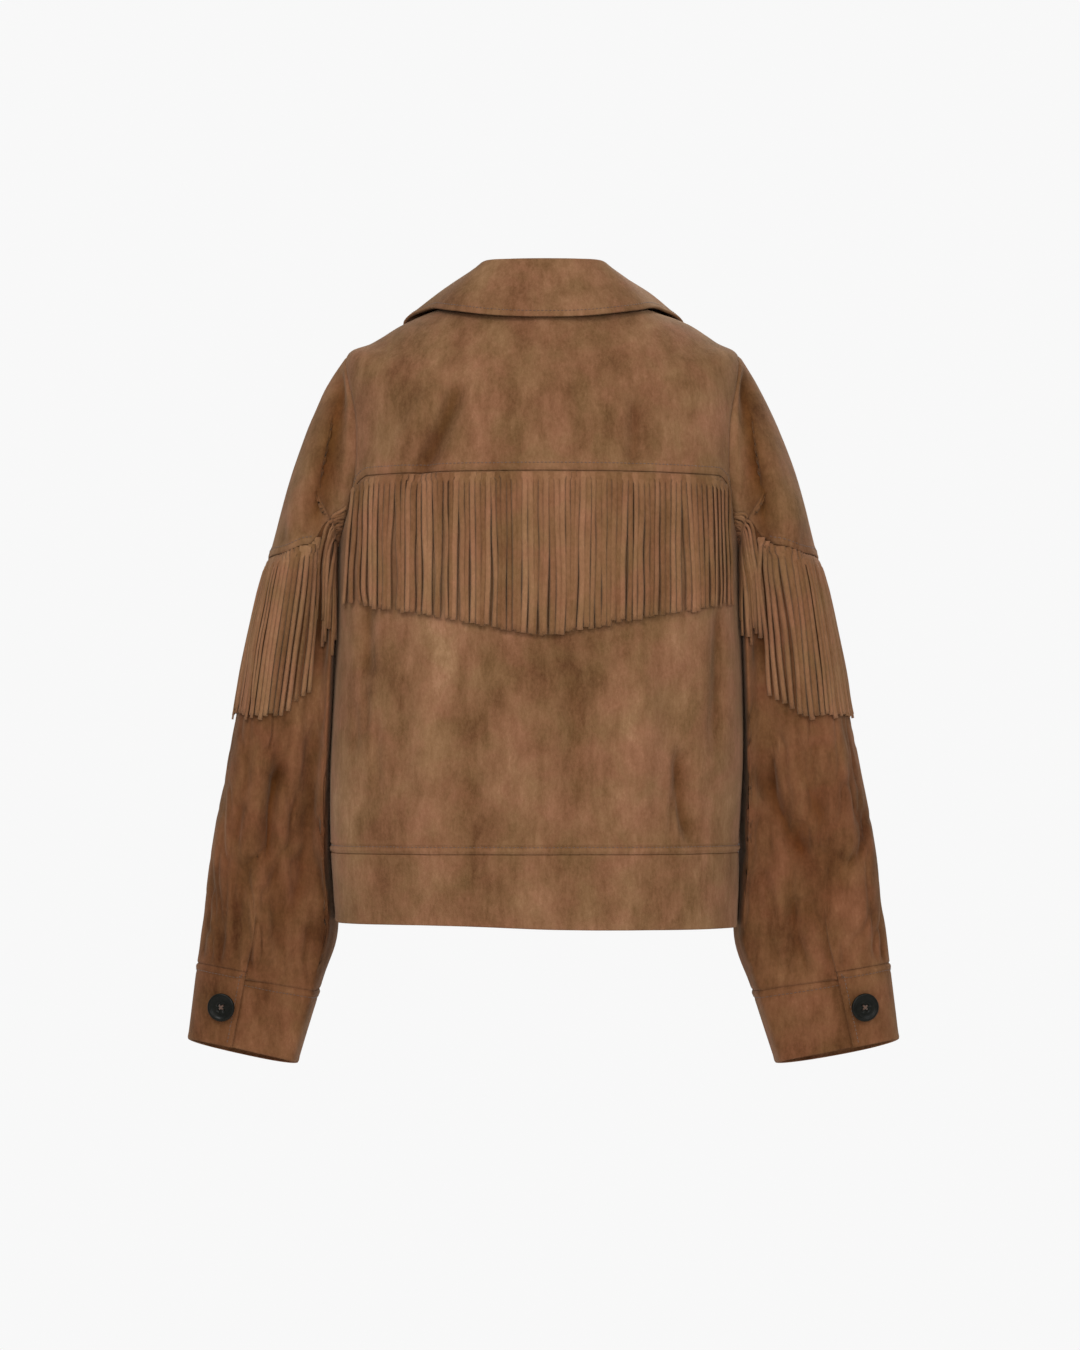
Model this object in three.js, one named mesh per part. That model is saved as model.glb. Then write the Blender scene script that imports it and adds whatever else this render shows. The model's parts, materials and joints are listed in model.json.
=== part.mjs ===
// A cropped western jacket in suede, with a fringe under the back yoke and round both upper sleeves.
// It stands hollow, as if filled out: every piece is a thin wall, and neck, hem, cuffs and armholes are open.
// Millimetres, +Z up. The back faces -Y, the wearer's right arm is on +X, and the origin is the middle of
// the neck opening at the height of the shoulders.

import * as THREE from 'three';

// Driving dimensions.
const CLOTH = 1.6;
const BAND_CLOTH = 2.4;
const COLLAR_CLOTH = 2.6;
const FRINGE_CLOTH = 1.8;
const SEAM_GAP = 0.3;
const LAY_GAP = 0.5;
const ROLL_RADIUS = 3.4;
const COLLAR_BULGE = 1.5;
const COLLAR_GAP = 0.8;
const PLACKET_HALF_WIDTH = 14;

const BUTTON_RADIUS = 13;
const BUTTON_RIM = 1.6;
const BUTTON_NECK_RADIUS = 3.5;
const BUTTON_NECK_HEIGHT = 1.8;
const BUTTON_TOP = 5.2;
const BUTTON_DISH_RADIUS = 9;
const BUTTON_DISH = 4.1;
const BUTTON_SIDES = 20;

// Steps in angle and level for reading a surface's direction.
const SMALL_STEP = 0.01;

// Levels are numbers along the body, from 0 at the neck seam to 13 at the hem.
const NECK_LEVEL = 0;
const SHOULDER_LEVEL = 4;
const UNDERARM_LEVEL = 8;
const WAIST_LEVEL = 12;
const HEM_LEVEL = 13;

// The armhole is an oval in angle and level. One half of it, top to bottom, has this many steps, and the
// yoke seam starts at one of them.
const ARMHOLE_STEPS = 12;
const YOKE_STEP = 7;
const ARMHOLE_INSET = radians(24);

// Columns of a back or front panel from its middle to its side: plumb ones, then some that reach the edge.
const PLUMB_COLUMNS = 7;
const EDGE_COLUMNS = 2;
const PLUMB_REACH = 171;
const SHOULDER_ROWS = 4;
const SIDE_ROWS = 5;
const SLEEVE_COLUMNS = 24;
const SLEEVE_YOKE_ROWS = 6;
const SLEEVE_FRINGE_ROWS = 4;
const FOREARM_ROWS = 5;
const COLLAR_COLUMNS = 24;

// Rings round the body. A ring may dip, so its height is given at the side, the centre back and the centre
// front. Squareness 2 is an ellipse, and more is a rounder rectangle.
const BODY_SECTIONS = table(
  ['level', 'halfWidth', 'backDepth', 'frontDepth', 'sideZ', 'backZ', 'frontZ', 'squareness'],
  [0, 78, 64, 70, 14, 22, -72, 2],
  [1, 104, 82, 92, 6, 4, -92, 2.1],
  [2, 130, 95, 102, -2, -22, -105, 2.15],
  [3, 158, 104, 109, -18, -48, -118, 2.2],
  [4, 182, 110, 114, -35, -76, -131, 2.3],
  [5.3, 184, 115, 118, -94, -108, -152, 2.4],
  [6.52, 186, 119, 121, -147, -142, -172, 2.45],
  [8, 189, 121, 122, -212, -206, -214, 2.5],
  [9, 190, 121, 121, -280, -278, -280, 2.5],
  [10, 190, 119, 119, -350, -350, -350, 2.5],
  [11, 190, 117, 116, -420, -420, -420, 2.5],
  [12, 188, 112, 111, -489, -489, -489, 2.5],
  [13, 184, 108, 107, -558, -558, -558, 2.5],
);

// Rings round a sleeve, each in the plane through its outer point and its inner point. They turn from nearly
// upright beside the armhole, which is ring 0 itself, to nearly level. Ring 12 is the cuff seam, 13 its hem.
// The inner side lies forward of the outer side by the lean, where the body's side curves away from it.
const SLEEVE_SECTIONS = table(
  ['ring', 'outerX', 'outerZ', 'innerX', 'innerZ', 'halfDepth', 'middleY', 'innerLean'],
  [1, 196.5, -57, 191.5, -213.5, 62, 0, 0],
  [2, 209, -82, 193, -217, 67, 1, 0],
  [3, 223, -116, 193, -222, 71, 2, 4],
  [4, 237, -158, 192, -230, 74, 4, 12],
  [5, 249.5, -206, 190.5, -242, 75, 6, 22],
  [6, 261.5, -254, 189, -266, 74, 8, 30],
  [7, 273.5, -309, 188.5, -316, 71, 11, 34],
  [8, 283.5, -365, 188.5, -373, 67, 14, 31],
  [9, 295.5, -430, 188.5, -440, 62, 18, 28],
  [10, 305, -486, 187, -500, 57, 21, 26],
  [11, 313.5, -551, 183.5, -568, 51, 25, 22],
  [12, 319, -594, 199.5, -617, 43, 27, 14],
  [13, 328, -663, 221, -683.5, 38, 30, 8],
);
const SLEEVE_SQUARENESS = 2.2;
const CORNER_FULLNESS = 0.85;
const CORNER_SKEW = 1.6;
const CUFF_LEVEL = 12;
const CUFF_HEM_LEVEL = 13;

// Where the sleeve's yoke seam and the fringe's lower edge run, by degrees from the outer side.
const SLEEVE_LINES = table(
  ['turn', 'seamLevel', 'fringeLevel'],
  [0, 5.33, 8.02],
  [60, 5, 7.95],
  [90, 4.5, 7.85],
  [120, 3.6, 7.65],
  [150, 2.4, 7.2],
  [180, 2, 7],
);
const SLEEVE_FRINGE_COLUMNS = 10;

// The deepest folds: soft troughs beside the armholes, given by their ends on the sleeve, in degrees.
const SLEEVE_FOLD_ENDS = table(
  ['startTurn', 'startLevel', 'endTurn', 'endLevel', 'width', 'depth'],
  [52, 0.5, 100, 3.6, 13, 9],
  [-48, 0.6, -98, 3.4, 14, 8],
);
const FOLD_PARTS = 4;

// The back fringe's lower edge is a shallow V: its level at the centre and at either end.
const BACK_FRINGE_POINT = 9.19;
const BACK_FRINGE_END = 8.75;

// The collar, by degrees from the centre back: the top of its fold, and where its edge lies over the body,
// with the edge's angle in degrees and its height above the cloth below.
const COLLAR_SECTIONS = table(
  ['turn', 'foldX', 'foldY', 'foldZ', 'edgeAngle', 'edgeLevel', 'edgeLift'],
  [0, 0, -67, 57.5, -90, 1.36, 7],
  [25, 29, -63, 57, -68, 1.36, 7],
  [45, 51, -50, 55.5, -42, 1.29, 7],
  [60, 59, -33, 50, -20, 1.14, 6],
  [75, 64, -17, 46, -6, 1.25, 5],
  [90, 68, 0, 41, 8, 1.75, 4.5],
  [120, 63, 38, 20, 31, 2.25, 4.5],
  [150, 38, 65, -22, 56, 2.9, 4.5],
  [177, 9, 75, -45, 76, 3.4, 4.5],
);
const COLLAR_END_TURN = radians(177);
const ROLL_END = radians(45);
const ROLL_ROWS = 3;
const LEAF_ROWS = 3;

// The cuff is a strip that goes once round and laps over itself at the back.
const CUFF_UNDER_END = radians(15);
const CUFF_OVER_END = radians(80);
const CUFF_STEP_END = radians(105);
const CUFF_COLUMNS = 28;
const CUFF_BUTTON_TURN = radians(63);
const CUFF_BUTTON_LEVEL = 12.5;
const FRONT_BUTTON_LEVELS = [0.6, 6.3, 8.6, 10.4, 12.5];

// Finishes.
const SUEDE = { color: 0x7a563c, roughness: 0.95, metalness: 0 };
const DARK_SUEDE = { color: 0x6a482f, roughness: 0.95, metalness: 0 };
const FRINGE_SUEDE = { color: 0x74503a, roughness: 0.95, metalness: 0 };
const HORN = { color: 0x1c1714, roughness: 0.3, metalness: 0 };

function radians(degrees) {
  return degrees * Math.PI / 180;
}

// Rows of numbers as objects, one for each row, whose fields are the named columns.
function table(columns, ...rows) {
  return rows.map((row) => Object.fromEntries(columns.map((column, index) => [column, row[index]])));
}

function mix(a, b, t) {
  return a + (b - a) * t;
}

function countTo(last) {
  return [...Array(last + 1).keys()];
}

// Evenly spaced numbers, both ends included.
function stretch(from, to, steps) {
  return countTo(steps).map((i) => mix(from, to, i / steps));
}

function smooth(t) {
  const clamped = Math.min(Math.max(t, 0), 1);
  return clamped * clamped * (3 - 2 * clamped);
}

function signedPower(value, power) {
  return Math.sign(value) * Math.abs(value) ** power;
}

// A smooth curve through a table's rows: key is the column that orders them, column the one that is read.
function readTable(rows, key, column, at) {
  const last = rows.length - 1;
  let index = 0;
  while (index < last - 1 && rows[index + 1][key] <= at) {
    index += 1;
  }
  const slope = (i) => {
    const before = rows[Math.max(i - 1, 0)];
    const after = rows[Math.min(i + 1, last)];
    return (after[column] - before[column]) / (after[key] - before[key]);
  };
  const start = rows[index];
  const end = rows[index + 1];
  const span = end[key] - start[key];
  const t = Math.min(Math.max((at - start[key]) / span, 0), 1);
  const rise = t * t * (3 - 2 * t);
  return mix(start[column], end[column], rise)
    + span * t * (1 - t) * ((1 - t) * slope(index) - t * slope(index + 1));
}

// The body's outer surface. Angle 0 is the +X side, -90 degrees the centre back and +90 the centre front.
function bodyPoint(angle, level) {
  const read = (column) => readTable(BODY_SECTIONS, 'level', column, level);
  const power = 2 / read('squareness');
  const sine = Math.sin(angle);
  const depth = sine < 0 ? read('backDepth') : read('frontDepth');
  const middleZ = sine < 0 ? read('backZ') : read('frontZ');
  return new THREE.Vector3(
    read('halfWidth') * signedPower(Math.cos(angle), power),
    depth * signedPower(sine, power),
    mix(read('sideZ'), middleZ, sine * sine),
  );
}

// A surface's direction, from points a small step away that stay within its last level, on the side of
// the given outside.
function surfaceNormal(point, angle, level, lastLevel, outside) {
  const above = point(angle, Math.max(level - SMALL_STEP, 0));
  const below = point(angle, Math.min(level + SMALL_STEP, lastLevel));
  const along = point(angle + SMALL_STEP, level).sub(point(angle - SMALL_STEP, level));
  const normal = along.cross(below.sub(above)).normalize();
  return normal.dot(outside) < 0 ? normal.negate() : normal;
}

function bodyNormal(angle, level) {
  const outside = new THREE.Vector3(Math.cos(angle), Math.sin(angle), 0);
  return surfaceNormal(bodyPoint, angle, level, HEM_LEVEL, outside);
}

// Levels of the rows down the side of the armhole, close together at its two ends.
function armholeLevel(step) {
  const turn = Math.PI * step / ARMHOLE_STEPS;
  return mix(SHOULDER_LEVEL, UNDERARM_LEVEL, (1 - Math.cos(turn)) / 2);
}

// How far the armhole cuts into the panels at a level, as an angle from the side.
function armholeInset(level) {
  const share = (level - SHOULDER_LEVEL) / (UNDERARM_LEVEL - SHOULDER_LEVEL);
  const reach = 1 - (2 * share - 1) ** 2;
  return ARMHOLE_INSET * Math.sqrt(Math.max(reach, 0));
}

// The armhole's edge by turn: 0 at the shoulder, 90 degrees at the back and 180 under the arm.
function armholePlace(turn) {
  const level = mix(SHOULDER_LEVEL, UNDERARM_LEVEL, (1 - Math.cos(turn)) / 2);
  return { angle: -ARMHOLE_INSET * Math.sin(turn), level };
}

// How full the sleeve is at a turn: 1 at its inner back corner, beside the body, and 0 away from it.
function innerCorner(turn) {
  const around = Math.atan2(Math.sin(turn), Math.cos(turn));
  const share = Math.max(around / (Math.PI / 2) - 1, 0);
  return Math.sin(Math.PI * share ** CORNER_SKEW) ** 2;
}

function sleeveRing(ring, turn) {
  if (ring === 0) {
    const place = armholePlace(turn);
    return bodyPoint(place.angle, place.level);
  }
  const row = SLEEVE_SECTIONS[ring - 1];
  const power = 2 / SLEEVE_SQUARENESS;
  const across = (1 + signedPower(Math.cos(turn), power)) / 2;
  const lean = row.innerLean * (1 - across - CORNER_FULLNESS * innerCorner(turn));
  return new THREE.Vector3(
    mix(row.innerX, row.outerX, across),
    row.middleY + lean - row.halfDepth * signedPower(Math.sin(turn), power),
    mix(row.innerZ, row.outerZ, across),
  );
}

// The smooth +X sleeve, a curve through the rings' points that have the same turn.
function plainSleevePoint(turn, level) {
  const rings = SLEEVE_SECTIONS.length;
  const ring = Math.min(Math.floor(level), rings - 1);
  const t = level - ring;
  const before = sleeveRing(Math.max(ring - 1, 0), turn);
  const start = sleeveRing(ring, turn);
  const end = sleeveRing(ring + 1, turn);
  const after = sleeveRing(Math.min(ring + 2, rings), turn);
  const startSlope = end.clone().sub(before).multiplyScalar(ring === 0 ? 1 : 0.5);
  const endSlope = after.sub(start).multiplyScalar(ring + 1 === rings ? 1 : 0.5);
  const point = start.clone().lerp(end, t * t * (3 - 2 * t));
  point.addScaledVector(startSlope, t * (1 - t) * (1 - t));
  return point.addScaledVector(endSlope, -t * t * (1 - t));
}

function plainSleeveNormal(turn, level) {
  const ring = Math.min(Math.max(level, 1), CUFF_HEM_LEVEL);
  const middle = plainSleevePoint(0, ring).add(plainSleevePoint(Math.PI, ring)).multiplyScalar(0.5);
  const outside = plainSleevePoint(turn, ring).sub(middle);
  const own = surfaceNormal(plainSleevePoint, turn, level, CUFF_HEM_LEVEL, outside);
  const place = armholePlace(turn);
  const share = Math.max(1 - level, 0) * (1 + Math.cos(turn)) / 2;
  return own.lerp(bodyNormal(place.angle, place.level), share).normalize();
}

// A fold's floor as short lines on the smooth sleeve.
function foldFloor(fold) {
  const points = stretch(0, 1, FOLD_PARTS).map((t) => {
    const turn = radians(mix(fold.startTurn, fold.endTurn, t));
    return plainSleevePoint(turn, mix(fold.startLevel, fold.endLevel, t));
  });
  return points.slice(1).map((point, index) => new THREE.Line3(points[index], point));
}

const SLEEVE_FOLDS = SLEEVE_FOLD_ENDS.map((fold) => ({ ...fold, floor: foldFloor(fold) }));

// How far a place on the sleeve sinks into the folds. The sink fades out at the armhole seam.
function sleeveSink(point, level) {
  const sinks = SLEEVE_FOLDS.map((fold) => {
    const nearest = new THREE.Vector3();
    const distances = fold.floor.map((line) => (
      line.closestPointToPoint(point, true, nearest).distanceTo(point)));
    return fold.depth * Math.exp(-((Math.min(...distances) / fold.width) ** 2));
  });
  return smooth(level) * sinks.reduce((sum, sink) => sum + sink, 0);
}

// The body and the sleeves as surfaces: a point and an outward direction at any angle and level.
const BODY = { point: bodyPoint, normal: bodyNormal };

function sleeveSurface(side) {
  const mirrored = (vector) => new THREE.Vector3(side * vector.x, vector.y, vector.z);
  const point = (turn, level) => {
    const place = plainSleevePoint(turn, level);
    return mirrored(place.addScaledVector(plainSleeveNormal(turn, level), -sleeveSink(place, level)));
  };
  return { point, normal: (turn, level) => mirrored(plainSleeveNormal(turn, level)) };
}

function gridOf(columns, rows, make) {
  return countTo(columns).map((i) => countTo(rows).map((j) => make(i, j)));
}

// Draws a grid's edges in by half a seam gap, so that the next piece stays clear.
function trimEdges(points, round) {
  const columns = points.length - 1;
  const rows = points[0].length - 1;
  return gridOf(columns, rows, (i, j) => {
    const point = points[i][j].clone();
    const pull = (neighbour) => {
      const direction = neighbour.clone().sub(points[i][j]).normalize();
      point.addScaledVector(direction, SEAM_GAP / 2);
    };
    if (j === 0) pull(points[i][1]);
    if (j === rows) pull(points[i][rows - 1]);
    if (!round && i === 0) pull(points[1][j]);
    if (!round && i === columns) pull(points[columns - 1][j]);
    return point;
  });
}

// A closed solid between two grids of points that face each other. Round ones join up with themselves.
function solidBetween(face, otherFace, round) {
  const columns = face.length - 1;
  const rows = face[0].length - 1;
  const used = round ? columns : columns + 1;
  const stride = rows + 1;
  const positions = [];
  [face, otherFace].forEach((grid) => {
    for (let i = 0; i < used; i += 1) {
      grid[i].forEach((point) => positions.push(point.x, point.y, point.z));
    }
  });
  const index = [];
  const quad = (a, b, c, d) => index.push(a, b, c, a, c, d);
  const near = (i, j) => (i % used) * stride + j;
  const far = (i, j) => used * stride + near(i, j);
  for (let i = 0; i < columns; i += 1) {
    for (let j = 0; j < rows; j += 1) {
      quad(near(i, j), near(i + 1, j), near(i + 1, j + 1), near(i, j + 1));
      quad(far(i, j), far(i, j + 1), far(i + 1, j + 1), far(i + 1, j));
    }
    quad(near(i, 0), far(i, 0), far(i + 1, 0), near(i + 1, 0));
    quad(near(i, rows), near(i + 1, rows), far(i + 1, rows), far(i, rows));
  }
  for (let j = 0; j < rows && !round; j += 1) {
    quad(near(0, j), near(0, j + 1), far(0, j + 1), far(0, j));
    quad(near(columns, j), far(columns, j), far(columns, j + 1), near(columns, j + 1));
  }
  return facingOut(positions, index);
}

// The geometry, with its triangles turned over where they would face in.
function facingOut(positions, index) {
  let volume = 0;
  const corner = (i) => new THREE.Vector3().fromArray(positions, 3 * i);
  for (let i = 0; i < index.length; i += 3) {
    volume += corner(index[i]).dot(corner(index[i + 1]).cross(corner(index[i + 2])));
  }
  const geometry = new THREE.BufferGeometry();
  geometry.setAttribute('position', new THREE.Float32BufferAttribute(positions, 3));
  geometry.setIndex(volume < 0 ? index.reverse() : index);
  geometry.computeVertexNormals();
  return geometry;
}

// A piece of cloth on a surface, between two distances from it. place gives the angle and level of each
// column and row.
function clothOn(surface, columns, rows, place, inner, outer, round = false) {
  const places = gridOf(columns, rows, place);
  const points = trimEdges(places.map((column) => column.map(([u, v]) => surface.point(u, v))), round);
  const raised = (distance) => gridOf(columns, rows, (i, j) => {
    const reach = typeof distance === 'function' ? distance(i, j) : distance;
    return points[i][j].clone().addScaledVector(surface.normal(...places[i][j]), reach);
  });
  return solidBetween(raised(outer), raised(inner), round);
}

// The angle, from the side, of a panel's last plumb column. Above the yoke seam it keeps its angle there.
function plumbInset(level) {
  const at = Math.max(level, armholeLevel(YOKE_STEP));
  const halfWidth = readTable(BODY_SECTIONS, 'level', 'halfWidth', at);
  const power = readTable(BODY_SECTIONS, 'level', 'squareness', at) / 2;
  return Math.acos((PLUMB_REACH / halfWidth) ** power);
}

// A column's angle from the middle of the back or front. Columns count from the middle, either way.
function columnLean(column, level) {
  const plumb = Math.PI / 2 - plumbInset(level);
  const edge = Math.PI / 2 - armholeInset(level);
  const count = Math.abs(column);
  const lean = count <= PLUMB_COLUMNS
    ? plumb * count / PLUMB_COLUMNS
    : mix(plumb, edge, (count - PLUMB_COLUMNS) / EDGE_COLUMNS);
  return Math.sign(column) * lean;
}

const SHOULDER_LEVELS = stretch(NECK_LEVEL, SHOULDER_LEVEL, SHOULDER_ROWS);
const ARMHOLE_LEVELS = stretch(0, ARMHOLE_STEPS, ARMHOLE_STEPS).map(armholeLevel);
const SIDE_LEVELS = stretch(UNDERARM_LEVEL, WAIST_LEVEL, SIDE_ROWS);
const YOKE_LEVELS = [...SHOULDER_LEVELS, ...ARMHOLE_LEVELS.slice(1, YOKE_STEP + 1)];
const BACK_LEVELS = [...ARMHOLE_LEVELS.slice(YOKE_STEP), ...SIDE_LEVELS.slice(1)];
const FRONT_LEVELS = [...SHOULDER_LEVELS, ...ARMHOLE_LEVELS.slice(1), ...SIDE_LEVELS.slice(1)];
const BAND_LEVELS = [WAIST_LEVEL, HEM_LEVEL];

function backPiece(levels, thickness) {
  const reach = PLUMB_COLUMNS + EDGE_COLUMNS;
  const place = (i, j) => [columnLean(i - reach, levels[j]) - Math.PI / 2, levels[j]];
  return clothOn(BODY, 2 * reach, levels.length - 1, place, -thickness, 0);
}

function frontPiece(side, levels, thickness) {
  const place = (i, j) => [Math.PI / 2 - columnLean(side * i, levels[j]), levels[j]];
  return clothOn(BODY, PLUMB_COLUMNS + EDGE_COLUMNS, levels.length - 1, place, -thickness, 0);
}

// The back fringe hangs plumb from the yoke seam, over the back panel's plumb columns.
function backFringe() {
  const levels = ARMHOLE_LEVELS.slice(YOKE_STEP);
  const place = (i, j) => {
    const column = i - PLUMB_COLUMNS;
    const bottom = mix(BACK_FRINGE_POINT, BACK_FRINGE_END, Math.abs(column) / PLUMB_COLUMNS);
    const level = j < levels.length ? levels[j] : bottom;
    return [columnLean(column, level) - Math.PI / 2, level];
  };
  return clothOn(BODY, 2 * PLUMB_COLUMNS, levels.length, place, LAY_GAP, LAY_GAP + FRINGE_CLOTH);
}

// The strip that carries the front buttons and laps over both fronts.
function placket() {
  const place = (i, j) => {
    const level = [...FRONT_LEVELS, HEM_LEVEL][j];
    const halfWidth = readTable(BODY_SECTIONS, 'level', 'halfWidth', level);
    const power = readTable(BODY_SECTIONS, 'level', 'squareness', level) / 2;
    const lean = Math.asin((PLACKET_HALF_WIDTH / halfWidth) ** power);
    return [Math.PI / 2 + (i - 1) * lean, level];
  };
  return clothOn(BODY, 2, FRONT_LEVELS.length, place, LAY_GAP, LAY_GAP + BAND_CLOTH);
}

function readCollar(column, turn) {
  return readTable(COLLAR_SECTIONS, 'turn', column, Math.abs(turn) / radians(1));
}

// One section through the collar: its fold's centre, the direction away from the neck, and its edge.
function collarSection(turn) {
  const side = Math.sign(turn) || 1;
  const foldAt = (angle) => new THREE.Vector3(
    Math.sign(angle) * readCollar('foldX', angle),
    readCollar('foldY', angle),
    readCollar('foldZ', angle),
  );
  const along = foldAt(turn + SMALL_STEP).sub(foldAt(turn - SMALL_STEP));
  const away = new THREE.Vector3(along.y, -along.x, 0).normalize();
  const up = new THREE.Vector3(0, 0, 1);
  const centre = foldAt(turn).addScaledVector(up, -ROLL_RADIUS);
  const edgeAngle = radians(readCollar('edgeAngle', turn));
  const angle = side > 0 ? edgeAngle : Math.PI - edgeAngle;
  const level = readCollar('edgeLevel', turn);
  const edgeNormal = bodyNormal(angle, level);
  const edge = bodyPoint(angle, level).addScaledVector(edgeNormal, readCollar('edgeLift', turn));
  return { away, up, centre, edge, edgeNormal };
}

function collarTurn(i) {
  return mix(-COLLAR_END_TURN, COLLAR_END_TURN, i / COLLAR_COLUMNS);
}

// The stand rises from the neck seam to the fold, on the fold's inner side.
function collarStand() {
  const outerFace = gridOf(COLLAR_COLUMNS, 1, (i, j) => {
    const turn = collarTurn(i);
    const { away, up, centre } = collarSection(turn);
    const seam = bodyPoint(turn - Math.PI / 2, NECK_LEVEL).addScaledVector(up, COLLAR_GAP);
    const top = centre.addScaledVector(away, COLLAR_CLOTH - ROLL_RADIUS).addScaledVector(up, -COLLAR_GAP);
    return j === 0 ? seam : top;
  });
  const innerFace = gridOf(COLLAR_COLUMNS, 1, (i, j) => {
    const { away } = collarSection(collarTurn(i));
    return outerFace[i][j].clone().addScaledVector(away, -COLLAR_CLOTH);
  });
  return solidBetween(outerFace, innerFace, false);
}

// The fall rolls over the stand and lies down towards the shoulders.
function collarFall() {
  const place = (i, j) => {
    const { away, up, centre, edge, edgeNormal } = collarSection(collarTurn(i));
    const roll = mix(Math.PI, ROLL_END, Math.min(j / ROLL_ROWS, 1));
    const normal = away.clone().multiplyScalar(Math.cos(roll)).addScaledVector(up, Math.sin(roll));
    const point = centre.clone().addScaledVector(normal, ROLL_RADIUS);
    const t = Math.max((j - ROLL_ROWS) / LEAF_ROWS, 0);
    normal.lerp(edgeNormal, t).normalize();
    point.lerp(edge, t).addScaledVector(normal, COLLAR_BULGE * Math.sin(Math.PI * t));
    return { point, normal };
  };
  const places = gridOf(COLLAR_COLUMNS, ROLL_ROWS + LEAF_ROWS, place);
  const outerFace = places.map((column) => column.map(({ point }) => point));
  const innerFace = places.map((column) => column.map(({ point, normal }) => (
    point.clone().addScaledVector(normal, -COLLAR_CLOTH))));
  return solidBetween(outerFace, innerFace, false);
}

function sleeveTurn(i) {
  return 2 * Math.PI * i / SLEEVE_COLUMNS;
}

// Reads a sleeve line's level at a turn; both halves of the sleeve, back and front, are alike.
function sleeveLine(column, turn) {
  const around = Math.abs(Math.atan2(Math.sin(turn), Math.cos(turn)));
  return readTable(SLEEVE_LINES, 'turn', column, around / radians(1));
}

function sleeveYoke(surface) {
  const place = (i, j) => {
    const turn = sleeveTurn(i);
    return [turn, mix(0, sleeveLine('seamLevel', turn), j / SLEEVE_YOKE_ROWS)];
  };
  return clothOn(surface, SLEEVE_COLUMNS, SLEEVE_YOKE_ROWS, place, -CLOTH, 0, true);
}

// Rows of the lower sleeve: first those that lie under the fringe, then the forearm's.
function lowerSleeveLevel(turn, row) {
  const fringe = sleeveLine('fringeLevel', turn);
  if (row <= SLEEVE_FRINGE_ROWS) {
    return mix(sleeveLine('seamLevel', turn), fringe, row / SLEEVE_FRINGE_ROWS);
  }
  return mix(fringe, CUFF_LEVEL, (row - SLEEVE_FRINGE_ROWS) / FOREARM_ROWS);
}

function lowerSleeve(surface) {
  const place = (i, j) => [sleeveTurn(i), lowerSleeveLevel(sleeveTurn(i), j)];
  return clothOn(surface, SLEEVE_COLUMNS, SLEEVE_FRINGE_ROWS + FOREARM_ROWS, place, -CLOTH, 0, true);
}

// The sleeve's fringe hangs from its yoke seam, from the underarm round the outer side to the front.
function sleeveFringe(surface) {
  const reach = SLEEVE_FRINGE_COLUMNS;
  const place = (i, j) => [sleeveTurn(i - reach), lowerSleeveLevel(sleeveTurn(i - reach), j)];
  return clothOn(surface, 2 * reach, SLEEVE_FRINGE_ROWS, place, LAY_GAP, LAY_GAP + FRINGE_CLOTH);
}

// The cuff's under end goes in by a layer, and the cuff comes out again past the over end's edge.
function cuff(surface) {
  const turnAt = (i) => mix(CUFF_UNDER_END, CUFF_OVER_END + 2 * Math.PI, i / CUFF_COLUMNS);
  const place = (i, j) => [turnAt(i), mix(CUFF_LEVEL, CUFF_HEM_LEVEL, j)];
  const layer = BAND_CLOTH + LAY_GAP;
  const shift = (i) => -layer * (1 - smooth((turnAt(i) - CUFF_OVER_END) / (CUFF_STEP_END - CUFF_OVER_END)));
  return clothOn(surface, CUFF_COLUMNS, 1, place, (i) => shift(i) - BAND_CLOTH, (i) => shift(i));
}

// A dished button with a rolled rim, on a short neck of thread that keeps it off the cloth.
function buttonGeometry() {
  const profile = [
    [0, 0],
    [BUTTON_NECK_RADIUS, 0],
    [BUTTON_NECK_RADIUS, BUTTON_NECK_HEIGHT],
    [BUTTON_RADIUS - BUTTON_RIM, BUTTON_NECK_HEIGHT],
    [BUTTON_RADIUS, (BUTTON_NECK_HEIGHT + BUTTON_TOP) / 2],
    [BUTTON_RADIUS - BUTTON_RIM, BUTTON_TOP],
    [BUTTON_DISH_RADIUS, BUTTON_DISH],
    [0, BUTTON_DISH],
  ];
  return new THREE.LatheGeometry(profile.map(([x, y]) => new THREE.Vector2(x, y)), BUTTON_SIDES);
}

function buttonOn(name, surface, angle, level, lift) {
  const mesh = namedMesh(name, buttonGeometry(), HORN);
  const normal = surface.normal(angle, level);
  mesh.position.copy(surface.point(angle, level)).addScaledVector(normal, lift);
  mesh.quaternion.setFromUnitVectors(new THREE.Vector3(0, 1, 0), normal);
  return mesh;
}

function namedMesh(name, geometry, finish) {
  const mesh = new THREE.Mesh(geometry, new THREE.MeshStandardMaterial(finish));
  mesh.name = name;
  return mesh;
}

function addBody(jacket) {
  jacket.add(namedMesh('back_yoke', backPiece(YOKE_LEVELS, CLOTH), SUEDE));
  jacket.add(namedMesh('back_panel', backPiece(BACK_LEVELS, CLOTH), SUEDE));
  jacket.add(namedMesh('back_fringe', backFringe(), FRINGE_SUEDE));
  jacket.add(namedMesh('waistband_back', backPiece(BAND_LEVELS, BAND_CLOTH), SUEDE));
  [['right', 1], ['left', -1]].forEach(([name, side]) => {
    jacket.add(namedMesh(`front_${name}`, frontPiece(side, FRONT_LEVELS, CLOTH), SUEDE));
    jacket.add(namedMesh(`waistband_front_${name}`, frontPiece(side, BAND_LEVELS, BAND_CLOTH), SUEDE));
  });
  jacket.add(namedMesh('front_placket', placket(), SUEDE));
  FRONT_BUTTON_LEVELS.forEach((level, index) => {
    const lift = 2 * LAY_GAP + BAND_CLOTH;
    jacket.add(buttonOn(`front_button_${index + 1}`, BODY, Math.PI / 2, level, lift));
  });
}

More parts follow.
